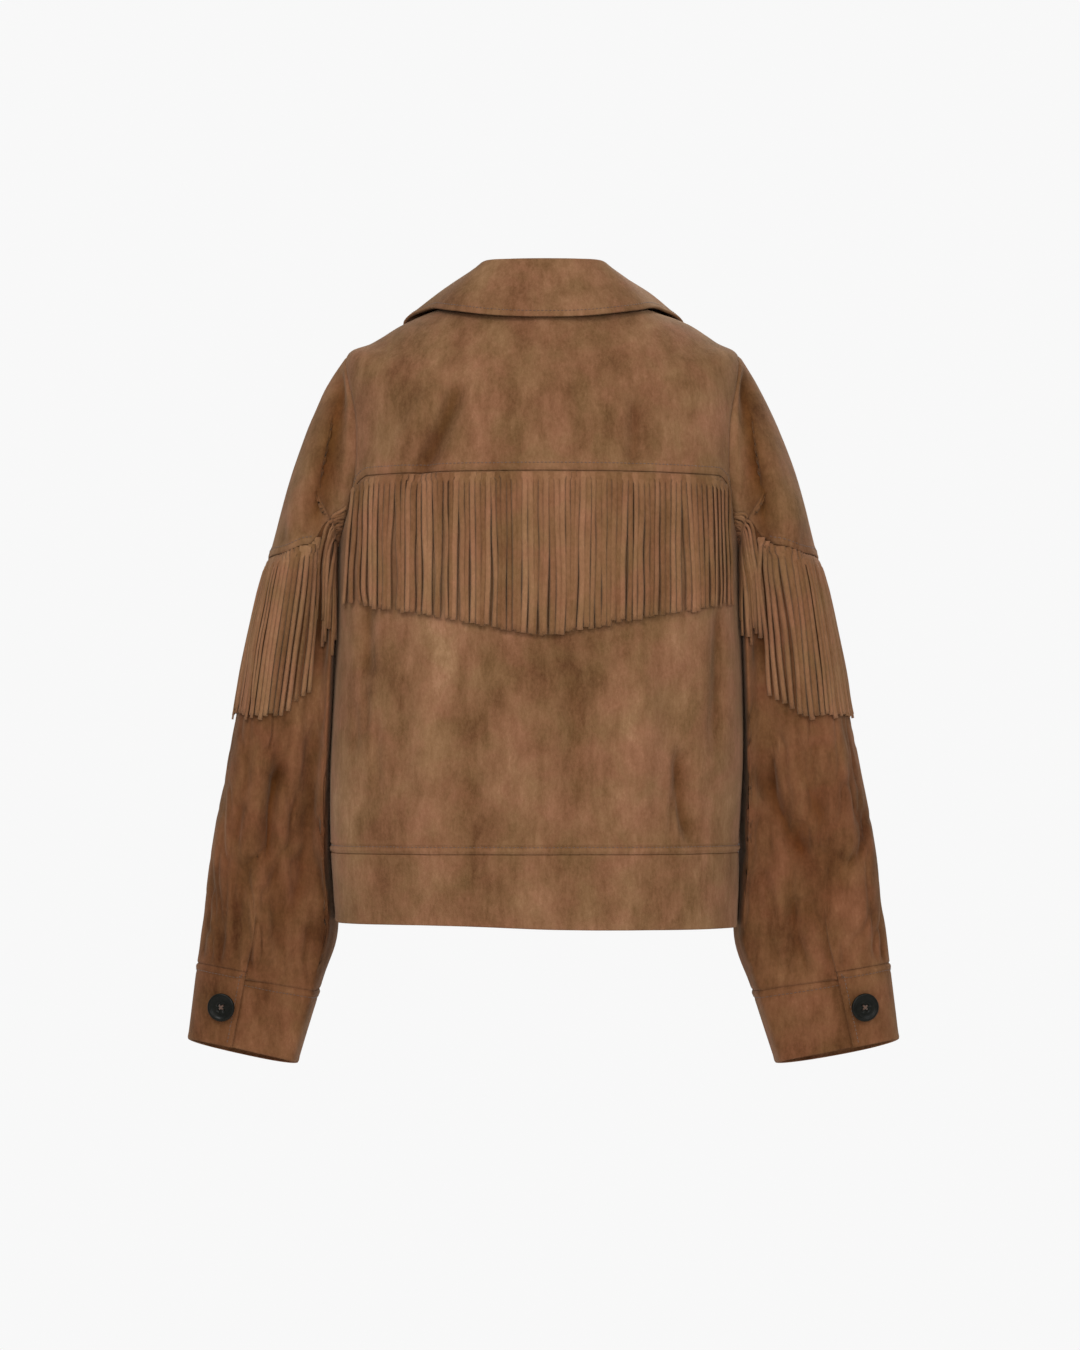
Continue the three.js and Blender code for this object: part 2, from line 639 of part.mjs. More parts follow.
function addCollar(jacket) {
  jacket.add(namedMesh('collar_stand', collarStand(), SUEDE));
  jacket.add(namedMesh('collar_fall', collarFall(), SUEDE));
}

function addSleeve(jacket, name, side) {
  const surface = sleeveSurface(side);
  jacket.add(namedMesh(`sleeve_yoke_${name}`, sleeveYoke(surface), SUEDE));
  jacket.add(namedMesh(`sleeve_lower_${name}`, lowerSleeve(surface), DARK_SUEDE));
  jacket.add(namedMesh(`sleeve_fringe_${name}`, sleeveFringe(surface), FRINGE_SUEDE));
  jacket.add(namedMesh(`cuff_${name}`, cuff(surface), DARK_SUEDE));
  jacket.add(buttonOn(`cuff_button_${name}`, surface, CUFF_BUTTON_TURN, CUFF_BUTTON_LEVEL, LAY_GAP));
}

const jacket = new THREE.Group();
addBody(jacket);
addCollar(jacket);
addSleeve(jacket, 'right', 1);
addSleeve(jacket, 'left', -1);

export default jacket;
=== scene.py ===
"""A cropped western jacket in brown suede, hollow as if filled out, seen from the back.

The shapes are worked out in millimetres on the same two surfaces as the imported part, the body and the
sleeves, and turned into metres where a mesh is made. The back faces -Y and the wearer's right arm is on +X.
"""

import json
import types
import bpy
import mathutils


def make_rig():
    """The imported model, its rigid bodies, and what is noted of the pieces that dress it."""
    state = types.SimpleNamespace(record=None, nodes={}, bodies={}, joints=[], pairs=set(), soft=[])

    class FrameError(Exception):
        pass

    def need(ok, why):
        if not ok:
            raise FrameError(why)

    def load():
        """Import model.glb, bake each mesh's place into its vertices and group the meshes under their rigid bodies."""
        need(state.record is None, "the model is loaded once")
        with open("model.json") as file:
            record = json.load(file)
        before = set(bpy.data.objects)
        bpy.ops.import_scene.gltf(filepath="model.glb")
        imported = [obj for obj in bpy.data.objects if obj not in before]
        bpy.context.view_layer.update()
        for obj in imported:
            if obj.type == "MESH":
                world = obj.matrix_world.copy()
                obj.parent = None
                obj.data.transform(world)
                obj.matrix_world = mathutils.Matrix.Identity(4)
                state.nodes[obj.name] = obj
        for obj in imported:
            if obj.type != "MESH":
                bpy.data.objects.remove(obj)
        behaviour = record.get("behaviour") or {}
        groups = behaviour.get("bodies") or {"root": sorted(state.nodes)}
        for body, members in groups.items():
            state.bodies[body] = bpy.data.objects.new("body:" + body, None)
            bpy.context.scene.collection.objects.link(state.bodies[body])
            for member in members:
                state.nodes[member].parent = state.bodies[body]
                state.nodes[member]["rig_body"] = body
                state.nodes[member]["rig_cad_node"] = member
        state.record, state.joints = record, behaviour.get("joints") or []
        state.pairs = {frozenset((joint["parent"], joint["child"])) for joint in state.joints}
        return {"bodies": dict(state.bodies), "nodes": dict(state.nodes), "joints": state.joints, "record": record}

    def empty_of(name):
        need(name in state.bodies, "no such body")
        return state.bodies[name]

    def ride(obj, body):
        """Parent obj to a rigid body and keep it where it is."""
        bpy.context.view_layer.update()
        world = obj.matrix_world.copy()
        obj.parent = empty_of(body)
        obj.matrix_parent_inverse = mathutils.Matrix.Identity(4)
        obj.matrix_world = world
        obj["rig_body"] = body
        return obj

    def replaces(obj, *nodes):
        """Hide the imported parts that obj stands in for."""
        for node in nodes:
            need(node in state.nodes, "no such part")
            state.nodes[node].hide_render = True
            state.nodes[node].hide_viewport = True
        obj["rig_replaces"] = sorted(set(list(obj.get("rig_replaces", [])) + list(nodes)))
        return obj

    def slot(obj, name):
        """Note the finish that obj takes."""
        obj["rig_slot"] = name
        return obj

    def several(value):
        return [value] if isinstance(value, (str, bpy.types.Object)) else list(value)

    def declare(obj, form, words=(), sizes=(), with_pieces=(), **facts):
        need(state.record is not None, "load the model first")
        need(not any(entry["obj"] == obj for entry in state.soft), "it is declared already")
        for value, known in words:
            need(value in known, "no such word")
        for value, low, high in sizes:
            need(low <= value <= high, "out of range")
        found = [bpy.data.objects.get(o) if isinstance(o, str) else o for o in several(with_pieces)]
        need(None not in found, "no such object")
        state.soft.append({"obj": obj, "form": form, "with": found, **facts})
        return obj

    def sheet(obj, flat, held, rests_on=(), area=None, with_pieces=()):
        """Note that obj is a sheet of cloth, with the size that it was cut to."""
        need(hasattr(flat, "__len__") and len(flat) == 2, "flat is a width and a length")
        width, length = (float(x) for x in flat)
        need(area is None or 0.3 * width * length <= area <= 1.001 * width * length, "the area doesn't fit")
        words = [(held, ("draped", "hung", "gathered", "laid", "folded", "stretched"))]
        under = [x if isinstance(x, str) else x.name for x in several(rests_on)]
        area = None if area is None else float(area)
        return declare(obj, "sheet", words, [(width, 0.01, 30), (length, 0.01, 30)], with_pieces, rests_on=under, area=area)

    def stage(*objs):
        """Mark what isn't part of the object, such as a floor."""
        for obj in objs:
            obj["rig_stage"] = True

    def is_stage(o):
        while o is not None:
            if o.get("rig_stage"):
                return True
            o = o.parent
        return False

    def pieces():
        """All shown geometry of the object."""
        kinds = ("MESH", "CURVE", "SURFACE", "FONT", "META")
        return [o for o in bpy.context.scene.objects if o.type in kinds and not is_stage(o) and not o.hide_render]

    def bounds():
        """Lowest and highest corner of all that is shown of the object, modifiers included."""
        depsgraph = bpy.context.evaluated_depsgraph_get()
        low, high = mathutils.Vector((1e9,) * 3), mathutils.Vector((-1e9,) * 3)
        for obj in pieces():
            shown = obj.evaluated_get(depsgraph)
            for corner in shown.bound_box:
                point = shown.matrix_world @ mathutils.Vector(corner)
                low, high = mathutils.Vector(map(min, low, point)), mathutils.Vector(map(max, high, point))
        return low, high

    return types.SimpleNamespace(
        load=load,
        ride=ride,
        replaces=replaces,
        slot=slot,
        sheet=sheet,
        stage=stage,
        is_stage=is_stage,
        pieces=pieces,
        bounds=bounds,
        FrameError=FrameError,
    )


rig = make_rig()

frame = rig.load()

import json
import math

import bpy
import numpy as np
from mathutils import Matrix, Vector

CAD_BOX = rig.bounds()
MM = 0.001

# ---------------------------------------------------------------- driving dimensions

CLOTH = 1.6
BAND_CLOTH = 2.4
COLLAR_CLOTH = 2.6
LAY_GAP = 0.5
PLACKET_HALF_WIDTH = 14
PLACKET_LIFT = BAND_CLOTH + 0.2
LAP_STITCH = 7
EDGE_STITCH = 5.5

# Levels run down the body from the neck seam, and down a sleeve from the armhole.
NECK_LEVEL = 0
SHOULDER_LEVEL = 4
UNDERARM_LEVEL = 8
WAIST_LEVEL = 12
HEM_LEVEL = 13
CUFF_LEVEL = 12
CUFF_HEM_LEVEL = 13
ARMHOLE_INSET = math.radians(24)
YOKE_LEVEL = 6.5176
YOKE_END_DROP = 0.28
YOKE_DROP_START = 6.1
YOKE_DROP_SPAN = 1.7
PLUMB_COLUMNS = 7
EDGE_COLUMNS = 2
PLUMB_REACH = 171
SLEEVE_SQUARENESS = 2.2
CORNER_FULLNESS = 1.4
CORNER_SKEW = 2.2

# Mesh spacing in millimetres: over open cloth, and beside seams and edges.
OPEN_STEP = 3.4
SEAM_STEP = 0.9
SEAM_REACH = 10
SMALL_STEP = 0.01


def table(columns, *rows):
    """A table as one array for each named column."""
    return dict(zip(columns.split(), np.array(rows, float).T))


BODY_SECTIONS = table(
    "level halfWidth backDepth frontDepth sideZ backZ frontZ squareness",
    (0, 78, 64, 70, 14, 22, -72, 2),
    (1, 104, 82, 92, 6, 4, -92, 2.1),
    (2, 130, 95, 102, -3.6, -22, -105, 2.15),
    (3, 158, 104, 109, -20.2, -48, -118, 2.2),
    (4, 182, 110, 114, -35, -76, -131, 2.3),
    (5.3, 184, 115, 118, -94, -108, -152, 2.4),
    (6.52, 186, 119, 121, -147, -142, -172, 2.45),
    (8, 189, 121, 122, -212, -206, -214, 2.5),
    (9, 190, 121, 121, -280, -278, -280, 2.5),
    (10, 190, 119, 119, -350, -350, -350, 2.5),
    (11, 190, 117, 116, -420, -420, -420, 2.5),
    (12, 188, 112, 111, -489, -489, -489, 2.5),
    (13, 184, 108, 107, -558, -558, -558, 2.5),
)

SLEEVE_SECTIONS = table(
    "ring outerX outerZ innerX innerZ halfDepth middleY innerLean",
    (1, 196.5, -57, 191.5, -213.5, 62, 0, 0),
    (2, 209, -82, 191, -217, 67, 1, 0),
    (3, 223, -116, 190.8, -222, 71, 2, 5),
    (4, 237, -158, 190.6, -230, 74, 4, 14),
    (5, 249.5, -206, 190.5, -242, 75, 6, 22),
    (6, 261.5, -254, 189, -266, 74, 8, 30),
    (7, 273.5, -309, 188.5, -316, 71, 11, 34),
    (8, 283.5, -365, 188.5, -373, 67, 14, 31),
    (9, 296.7, -430, 188.5, -440, 62, 18, 28),
    (10, 306.2, -486, 187, -500, 57, 21, 26),
    (11, 314.8, -551, 183.5, -568, 51, 25, 22),
    (12, 320.2, -594, 199.5, -617, 43, 27, 14),
    (13, 328.8, -663, 221, -685, 38, 30, 8),
)
# How much the hem of a cuff rises at the back and drops at the front.
CUFF_BACK_RISE = 2.2
CUFF_FRONT_DROP = 6.8

# A sleeve's yoke seam and the lower ends of its fringe's strips, by degrees from the outer side.
SLEEVE_LINES = table(
    "turn seamLevel fringeLevel",
    (0, 5.33, 7.98),
    (60, 5, 7.95),
    (90, 4.5, 7.85),
    (104, 4.1, 7.65),
    (112, 3.6, 7.5),
    (120, 2.5, 7.4),
    (128, 1.4, 7.4),
    (140, 1.0, 7.2),
    (180, 0.9, 7),
)

COLLAR_SECTIONS = table(
    "turn foldX foldY foldZ edgeAngle edgeLevel edgeLift",
    (0, 0, -67, 52.8, -90, 1.36, 7),
    (25, 29, -63, 52.8, -68, 1.36, 7),
    (45, 51, -50, 52, -42, 1.29, 7),
    (60, 59, -33, 48, -20, 1.14, 6),
    (75, 64, -17, 45, -6, 1.36, 5),
    (90, 68, 0, 41, 8, 1.95, 4.5),
    (120, 63, 38, 20, 31, 2.25, 4.5),
    (150, 38, 65, -22, 56, 2.9, 4.5),
    (177, 9, 75, -45, 76, 3.4, 4.5),
)

# ---------------------------------------------------------------- numbers and curves


def mix(a, b, t):
    return a + (b - a) * t


def smooth(t):
    t = np.clip(t, 0, 1)
    return t * t * (3 - 2 * t)


def bump(distance, width):
    """A bell curve, 1 at the middle."""
    return np.exp(-(distance / width) ** 2)


def signed_power(value, power):
    return np.sign(value) * np.abs(value) ** power


def unit(vectors):
    return vectors / np.maximum(np.linalg.norm(vectors, axis=-1, keepdims=True), 1e-9)


def wrapped(turn):
    """The same turn between minus and plus half a circle."""
    return np.arctan2(np.sin(turn), np.cos(turn))


def path_length(points):
    """The distance along lines of points, from 0 at each line's start."""
    steps = np.linalg.norm(np.diff(points, axis=0), axis=-1)
    return np.concatenate([np.zeros_like(steps[:1]), np.cumsum(steps, axis=0)])


def read_path(at, length, points):
    """The points at some distances along a path."""
    return np.stack([np.interp(at, length, points[:, k]) for k in range(3)], -1)


def read_table(rows, key, column, at):
    """A smooth curve through a table's rows: key is the column that orders them."""
    x, y = rows[key], rows[column]
    last = len(x) - 1
    before = np.maximum(np.arange(last + 1) - 1, 0)
    after = np.minimum(np.arange(last + 1) + 1, last)
    slope = (y[after] - y[before]) / (x[after] - x[before])
    i = np.clip(np.searchsorted(x, at, side="right") - 1, 0, last - 1)
    span = x[i + 1] - x[i]
    t = np.clip((at - x[i]) / span, 0, 1)
    bend = span * t * (1 - t) * ((1 - t) * slope[i] - t * slope[i + 1])
    return mix(y[i], y[i + 1], t * t * (3 - 2 * t)) + bend


def read_row(rows, key, at):
    """Every column of a table at one place."""
    return {name: read_table(rows, key, name, at) for name in rows}


NOISE_CELLS = 32


def noise(points, size, seed):
    """Smooth noise from -1 to 1 whose bumps are about size millimetres apart, along x, y and z."""
    lattice = np.random.default_rng(seed).uniform(-1, 1, (NOISE_CELLS,) * 3)
    scaled = points / np.asarray(size, float)
    cell = np.floor(scaled).astype(int)
    share = smooth(scaled - cell)
    total = np.zeros(points.shape[:-1])
    for corner in np.ndindex(2, 2, 2):
        weight = np.prod(np.where(np.array(corner) == 1, share, 1 - share), axis=-1)
        x, y, z = np.moveaxis((cell + corner) % NOISE_CELLS, -1, 0)
        total += weight * lattice[x, y, z]
    return total


# ---------------------------------------------------------------- the two surfaces


def body_point(angle, level):
    """The body's outside. Angle 0 is the +X side, -90 degrees the centre back."""
    angle, level = np.broadcast_arrays(angle, level)
    read = read_row(BODY_SECTIONS, "level", level)
    power = 2 / read["squareness"]
    sine, cosine = np.sin(angle), np.cos(angle)
    return np.stack([
        read["halfWidth"] * signed_power(cosine, power),
        np.where(sine < 0, read["backDepth"], read["frontDepth"]) * signed_power(sine, power),
        mix(read["sideZ"], np.where(sine < 0, read["backZ"], read["frontZ"]), sine * sine),
    ], axis=-1)


def surface_normal(point, angle, level, last_level, outside):
    """A surface's direction, on the side of the given outside."""
    above = point(angle, np.maximum(level - SMALL_STEP, 0))
    below = point(angle, np.minimum(level + SMALL_STEP, last_level))
    along = point(angle + SMALL_STEP, level) - point(angle - SMALL_STEP, level)
    normal = unit(np.cross(along, below - above))
    return normal * np.where(np.sum(normal * outside, axis=-1, keepdims=True) < 0, -1, 1)


def body_normal(angle, level):
    angle, level = np.broadcast_arrays(angle, level)
    outside = np.stack([np.cos(angle), np.sin(angle), np.zeros(angle.shape)], axis=-1)
    return surface_normal(body_point, angle, level, HEM_LEVEL, outside)


def armhole_inset(level):
    """How far the armhole cuts into the panels at a level, as an angle from the side."""
    share = (level - SHOULDER_LEVEL) / (UNDERARM_LEVEL - SHOULDER_LEVEL)
    return ARMHOLE_INSET * np.sqrt(np.maximum(1 - (2 * share - 1) ** 2, 0))


def armhole_place(turn):
    """The armhole's edge by turn: 0 at the shoulder, 90 degrees at the back, 180 under the arm."""
    level = mix(SHOULDER_LEVEL, UNDERARM_LEVEL, (1 - np.cos(turn)) / 2)
    return -ARMHOLE_INSET * np.sin(turn), level


def inner_corner(turn):
    """How full the sleeve is: 1 at its inner back corner, beside the body, and 0 away from it."""
    share = np.maximum(wrapped(turn) / (math.pi / 2) - 1, 0)
    return np.sin(math.pi * share ** CORNER_SKEW) ** 2


def sleeve_rings(turn):
    """The points of the armhole and of every sleeve section at each turn."""
    section = {name: column.reshape((-1,) + (1,) * np.ndim(turn)) for name, column in SLEEVE_SECTIONS.items()}
    power = 2 / SLEEVE_SQUARENESS
    across = (1 + signed_power(np.cos(turn), power)) / 2
    outward = signed_power(np.sin(turn), power)
    lean = section["innerLean"] * (1 - across - CORNER_FULLNESS * inner_corner(turn))
    rings = np.stack([
        mix(section["innerX"], section["outerX"], across),
        section["middleY"] + lean - section["halfDepth"] * outward,
        mix(section["innerZ"], section["outerZ"], across),
    ], axis=-1)
    rings[-1, ..., 2] += np.where(outward > 0, CUFF_BACK_RISE, CUFF_FRONT_DROP) * outward
    return np.concatenate([body_point(*armhole_place(turn))[None], rings])


def plain_sleeve_point(turn, level):
    """The smooth +X sleeve: a curve through the sections' points that have the same turn."""
    turn, level = np.broadcast_arrays(turn, level)
    rings = sleeve_rings(turn)
    last = len(rings) - 1
    ring = np.minimum(np.floor(level).astype(int), last - 1)
    t = (level - ring)[..., None]

    def at(index):
        return np.take_along_axis(rings, np.clip(index, 0, last)[None, ..., None], axis=0)[0]

    before, start, end, after = (at(ring + step) for step in (-1, 0, 1, 2))
    start_slope = (end - before) * np.where(ring == 0, 1, 0.5)[..., None]
    end_slope = (after - start) * np.where(ring + 1 == last, 1, 0.5)[..., None]
    point = mix(start, end, t * t * (3 - 2 * t))
    return point + start_slope * t * (1 - t) ** 2 - end_slope * t * t * (1 - t)


def plain_sleeve_normal(turn, level):
    turn, level = np.broadcast_arrays(turn, level)
    ring = np.clip(level, 1, CUFF_HEM_LEVEL)
    flat = np.zeros(turn.shape)
    middle = (plain_sleeve_point(flat, ring) + plain_sleeve_point(flat + math.pi, ring)) / 2
    outside = plain_sleeve_point(turn, ring) - middle
    own = surface_normal(plain_sleeve_point, turn, level, CUFF_HEM_LEVEL, outside)
    share = (np.maximum(1 - level, 0) * (1 + np.cos(turn)) / 2)[..., None]
    return unit(mix(own, body_normal(*armhole_place(turn)), share))


def lean_at(x, level):
    """The angle, from the middle of the back or front, at which the body reaches x."""
    half_width = read_table(BODY_SECTIONS, "level", "halfWidth", level)
    power = read_table(BODY_SECTIONS, "level", "squareness", level) / 2
    return np.arcsin(np.clip(signed_power(x / half_width, power), -1, 1))


def column_lean(column, level):
    """A column's angle from the middle of the back or front."""
    plumb = lean_at(PLUMB_REACH, np.maximum(level, YOKE_LEVEL))
    edge = math.pi / 2 - armhole_inset(level)
    count = np.abs(column)
    outer = mix(plumb, edge, (count - PLUMB_COLUMNS) / EDGE_COLUMNS)
    return np.sign(column) * np.where(count <= PLUMB_COLUMNS, plumb * count / PLUMB_COLUMNS, outer)


def sleeve_line(column, turn):
    return read_table(SLEEVE_LINES, "turn", column, np.degrees(np.abs(wrapped(turn))))


# ---------------------------------------------------------------- folds

# Soft troughs in the cloth, each from one end to the other as x and z, with a sideways bow. Width is half
# the trough's width; skew makes one flank steeper; depth is negative for a ridge.
FOLD_COLUMNS = "startX startZ endX endZ bow width depth skew"

BACK_FOLDS = table(
    FOLD_COLUMNS,
    (-76, -52, -124, -158, 5, 11, 8.5, 0.25),
    (-100, -60, -136, -122, 4, 9, -2.6, 0),
    (84, -70, 80, -141, 2, 8, 4.2, -0.2),
    (30, -40, 42, -92, -4, 12, 1.8, 0),
    (-30, -18, 12, -32, 3, 8, 1.6, 0),
    (-161, -250, -158, -335, -3, 9, 6, 0.2),
    (-161, -330, -158, -385, 2, 4, 2.2, 0),
    (-170, -352, -166, -400, 2, 4, 1.8, 0),
    (-146, -360, -142, -440, -3, 5, 2.0, 0),
    (161, -250, 160, -405, 3, 9, 6, -0.2),
    (128, -388, 141, -482, -4, 9, 9, 0.3),
    (123, -420, 119.5, -478, 1, 2.2, 3.4, 0.4),
    (84, -290, 92, -470, 6, 20, -5.4, 0),
    (-40, -330, -62, -470, -8, 22, 4.2, 0),
    (24, -300, 36, -455, 5, 18, 4.0, 0),
    (-112, -330, -104, -440, 4, 14, -2.4, 0),
)

FRONT_FOLDS = table(
    FOLD_COLUMNS,
    (96, -70, 128, -150, -5, 11, 4.4, 0.2),
    (-102, -64, -118, -160, 4, 11, 4.8, -0.2),
    (70, -190, 92, -330, 6, 16, 2.4, 0),
    (-64, -180, -84, -300, -6, 15, 2.6, 0),
    (140, -232, 128, -340, 4, 9, 3.4, 0.2),
    (-146, -228, -136, -350, -4, 9, 3.2, -0.2),
    (52, -390, 60, -476, 3, 8, 2.8, 0.2),
    (-58, -370, -66, -478, -3, 9, 3.0, -0.2),
    (120, -410, 126, -480, 2, 6, 2.6, 0),
    (-112, -400, -118, -480, 2, 7, 2.4, 0),
)

RIGHT_SLEEVE_BACK_FOLDS = table(
    FOLD_COLUMNS,
    (188, -26, 214, -214, -6, 16.5, 13, 0.2),
    (207, -186, 204.5, -335, 2, 9, 6.5, 0),
    (216, -96, 226, -166, 3, 9, 2.6, 0),
    (240, -180, 236, -222, 2, 7, 1.8, 0),
    (204, -404, 250, -506, -7, 10, 7.0, 0.3),
    (211, -396, 214, -440, 2, 4, 2.6, 0),
    (238, -372, 262, -470, -5, 9, 3.4, -0.2),
    (282, -400, 292, -505, 5, 6, 2.8, 0.2),
    (206, -500, 216, -566, 4, 6, 2.4, 0),
    (232, -528, 244, -592, -3, 7, 2.6, 0),
    (302, -536, 303, -590, 1, 2.6, 2.4, 0.5),
    (208, -556, 214, -594, 2, 3, 1.6, 0),
    (268, -300, 276, -384, 3, 12, 2.2, 0),
)

RIGHT_SLEEVE_FRONT_FOLDS = table(
    FOLD_COLUMNS,
    (186, -50, 208, -182, -5, 12, 8.5, 0.2),
    (222, -104, 232, -178, 3, 9, 2.4, 0),
    (206, -322, 250, -360, 6, 8, 4.6, 0.2),
    (204, -366, 262, -396, 5, 9, 4.2, 0),
    (208, -420, 252, -470, -6, 10, 4.4, -0.2),
    (276, -410, 288, -520, 4, 7, 3.0, 0),
    (222, -500, 240, -590, -4, 8, 3.4, 0),
    (262, -520, 276, -592, 3, 6, 2.6, 0),
)

LEFT_SLEEVE_BACK_FOLDS = table(
    FOLD_COLUMNS,
    (-189, -26, -211, -214, 6, 18, 12, -0.2),
    (-200, -186, -202, -330, -2, 9, 6.5, 0),
    (-219, -92, -229, -160, -3, 9, 2.4, 0),
    (-242, -186, -238, -224, 2, 7, 1.8, 0),
    (-231, -404, -248, -500, -5, 9.5, 7.0, -0.3),
    (-206, -380, -212, -470, 3, 6, 3.4, 0),
    (-279, -440, -286, -486, 3, 7, 3.2, 0),
    (-262, -380, -270, -440, -3, 7, 2.4, 0),
    (-214, -486, -226, -560, 4, 8, 2.6, 0),
    (-292, -512, -295, -590, 1, 3, 2.6, -0.5),
    (-202, -552, -206, -592, 2, 3.4, 2.0, 0),
    (-240, -556, -238, -600, 2, 6, 1.8, 0),
    (-266, -300, -272, -380, -3, 12, 2.2, 0),
)

LEFT_SLEEVE_FRONT_FOLDS = table(
    FOLD_COLUMNS,
    (-185, -52, -209, -178, 5, 12, 8.5, -0.2),
    (-224, -98, -231, -170, -3, 9, 2.4, 0),
    (-205, -330, -252, -352, -6, 8, 4.8, 0.2),
    (-206, -372, -258, -402, -5, 9, 4.0, 0),
    (-206, -430, -248, -462, 6, 9, 4.4, 0.2),
    (-280, -420, -290, -510, -4, 7, 3.0, 0),
    (-226, -506, -242, -588, 4, 8, 3.2, 0),
    (-266, -526, -278, -592, -3, 6, 2.6, 0),
)

FOLDS = {
    "body": (BACK_FOLDS, FRONT_FOLDS),
    "right": (RIGHT_SLEEVE_BACK_FOLDS, RIGHT_SLEEVE_FRONT_FOLDS),
    "left": (LEFT_SLEEVE_BACK_FOLDS, LEFT_SLEEVE_FRONT_FOLDS),
}

# Uneven waves, and crumples on the lower sleeves: height, size along x, y and z, and seed.
BODY_WAVES = ((2.0, (46, 60, 96), 11), (0.5, (17, 24, 34), 12))
SLEEVE_WAVES = ((1.9, (24, 30, 100), 21), (0.6, (12, 15, 30), 22))
SLEEVE_CRUMPLES = ((3.3, (17, 22, 66), 23), (2.2, (10, 13, 34), 24))
CRUMPLE_LEVEL = 7.2
CRUMPLE_WIDTH = 0.19
# Where body and sleeve lie side by side, this share of what stands out is pressed flat.
PRESSED = 0.85
BODY_PRESSED_X = 178
BODY_PRESSED_Z = -195
SLEEVE_PRESSED_X = 203
# How sharply the folds of back and front part at the sides, and how far a sleeve is uneven there.
FACING = 2.2
SIDE_SHARE = 0.35

# The slit above the cuff: its place round the sleeve, millimetres per radian there, top, lift and groove.
SLIT_TURN = math.radians(80.5)
SLIT_SCALE = 64
SLIT_TOP = 10.6
SLIT_LIFT = 1.6
SLIT_LIFT_WIDTH = 9
SLIT_SINK = 1.0
SLIT_SINK_WIDTH = 1.3

# A fold's straight parts, how it fades at its ends, and how far the cloth rises beside it.
FOLD_PARTS = 8
FOLD_FADE = 0.3
FOLD_START = 0.15
FOLD_RIM = 0.55


def fold_reach(points, folds, index):
    """Signed distance to one fold's floor, and the share of the way along it, in the x-z view."""
    start, end = (np.array([folds[e + "X"][index], folds[e + "Z"][index]]) for e in ("start", "end"))
    along = end - start
    across = np.array([-along[1], along[0]]) / np.linalg.norm(along)
    share = np.linspace(0, 1, FOLD_PARTS + 1)[:, None]
    floor = start + along * share + across * folds["bow"][index] * 4 * share * (1 - share)
    place = points[..., [0, 2]]
    best = np.full(place.shape[:-1], np.inf)
    signed, reached = np.zeros_like(best), np.zeros_like(best)
    for part in range(FOLD_PARTS):
        step = floor[part + 1] - floor[part]
        t = np.clip(((place - floor[part]) @ step) / (step @ step), 0, 1)
        offset = place - floor[part] - t[..., None] * step
        distance = np.linalg.norm(offset, axis=-1)
        nearer = distance < best
        side = np.sign(step[0] * offset[..., 1] - step[1] * offset[..., 0])
        best = np.where(nearer, distance, best)
        signed = np.where(nearer, side * distance, signed)
        reached = np.where(nearer, (part + t) / FOLD_PARTS, reached)
    return signed, reached


def fold_relief(points, folds):
    """How far the folds move the cloth out. Beside each trough the cloth rises a little."""
    relief = np.zeros(points.shape[:-1])
    for index in range(len(folds["width"])):
        signed, reached = fold_reach(points, folds, index)
        skew = folds["skew"][index]
        distance = signed / (folds["width"][index] * (1 + skew * np.sign(signed)))
        fade = smooth(reached / FOLD_FADE + FOLD_START) * smooth((1 - reached) / FOLD_FADE + FOLD_START)
        trough = bump(distance, 1) * (1 - FOLD_RIM * distance ** 2)
        relief -= folds["depth"][index] * fade * trough
    return relief


def folded(points, normals, place):
    """The folds of the body or a sleeve, and how fully each point faces the back or the front."""
    back, front = smooth(-normals[..., 1] * FACING), smooth(normals[..., 1] * FACING)
    back_folds, front_folds = FOLDS[place]
    relief = back * fold_relief(points, back_folds) + front * fold_relief(points, front_folds)
    return relief, np.maximum(back, front)


def waves(points, rows):
    return sum(height * noise(points, size, seed) for height, size, seed in rows)


def crumples(points, rows):
    """Small creases from 0 down: soft between, with a sharper floor."""
    return -sum(height * bump(noise(points, size, seed), CRUMPLE_WIDTH) for height, size, seed in rows)


def slit_relief(turn, level):
    """The slit above the cuff, whose outer side laps over its inner side."""
    distance = wrapped(turn - SLIT_TURN) * SLIT_SCALE
    outer = SLIT_LIFT * smooth(-distance / 0.5) * bump(distance, SLIT_LIFT_WIDTH)
    inner = SLIT_SINK * bump(distance - 0.8, SLIT_SINK_WIDTH)
    return (outer - inner) * smooth((level - SLIT_TOP) / 0.3) * (level <= CUFF_LEVEL)


def body_relief(points, normals):
    relief, _ = folded(points, normals, "body")
    relief += waves(points, BODY_WAVES)
    beside_sleeve = smooth((np.abs(points[..., 0]) - BODY_PRESSED_X) / 9)
    beside_sleeve = beside_sleeve * smooth((BODY_PRESSED_Z - points[..., 2]) / 20)
    return relief - PRESSED * beside_sleeve * np.maximum(relief, 0)


def sleeve_relief(points, normals, turn, level, place):
    relief, faced = folded(points, normals, place)
    free = mix(SIDE_SHARE, 1, faced)
    relief += free * waves(points, SLEEVE_WAVES)
    relief += free * smooth((level - CRUMPLE_LEVEL) / 1.4) * crumples(points, SLEEVE_CRUMPLES)
    calm = smooth(level / 0.6) * smooth((CUFF_LEVEL - level) / 0.35)
    relief = relief * calm + slit_relief(turn, level)
    beside_body = smooth((SLEEVE_PRESSED_X - np.abs(points[..., 0])) / 8)
    return relief - PRESSED * beside_body * np.maximum(relief, 0)


class Body:
    """The body with its folds."""

    point = staticmethod(body_point)
    normal = staticmethod(body_normal)

    def relief(self, angle, level):
        return body_relief(body_point(angle, level), body_normal(angle, level))


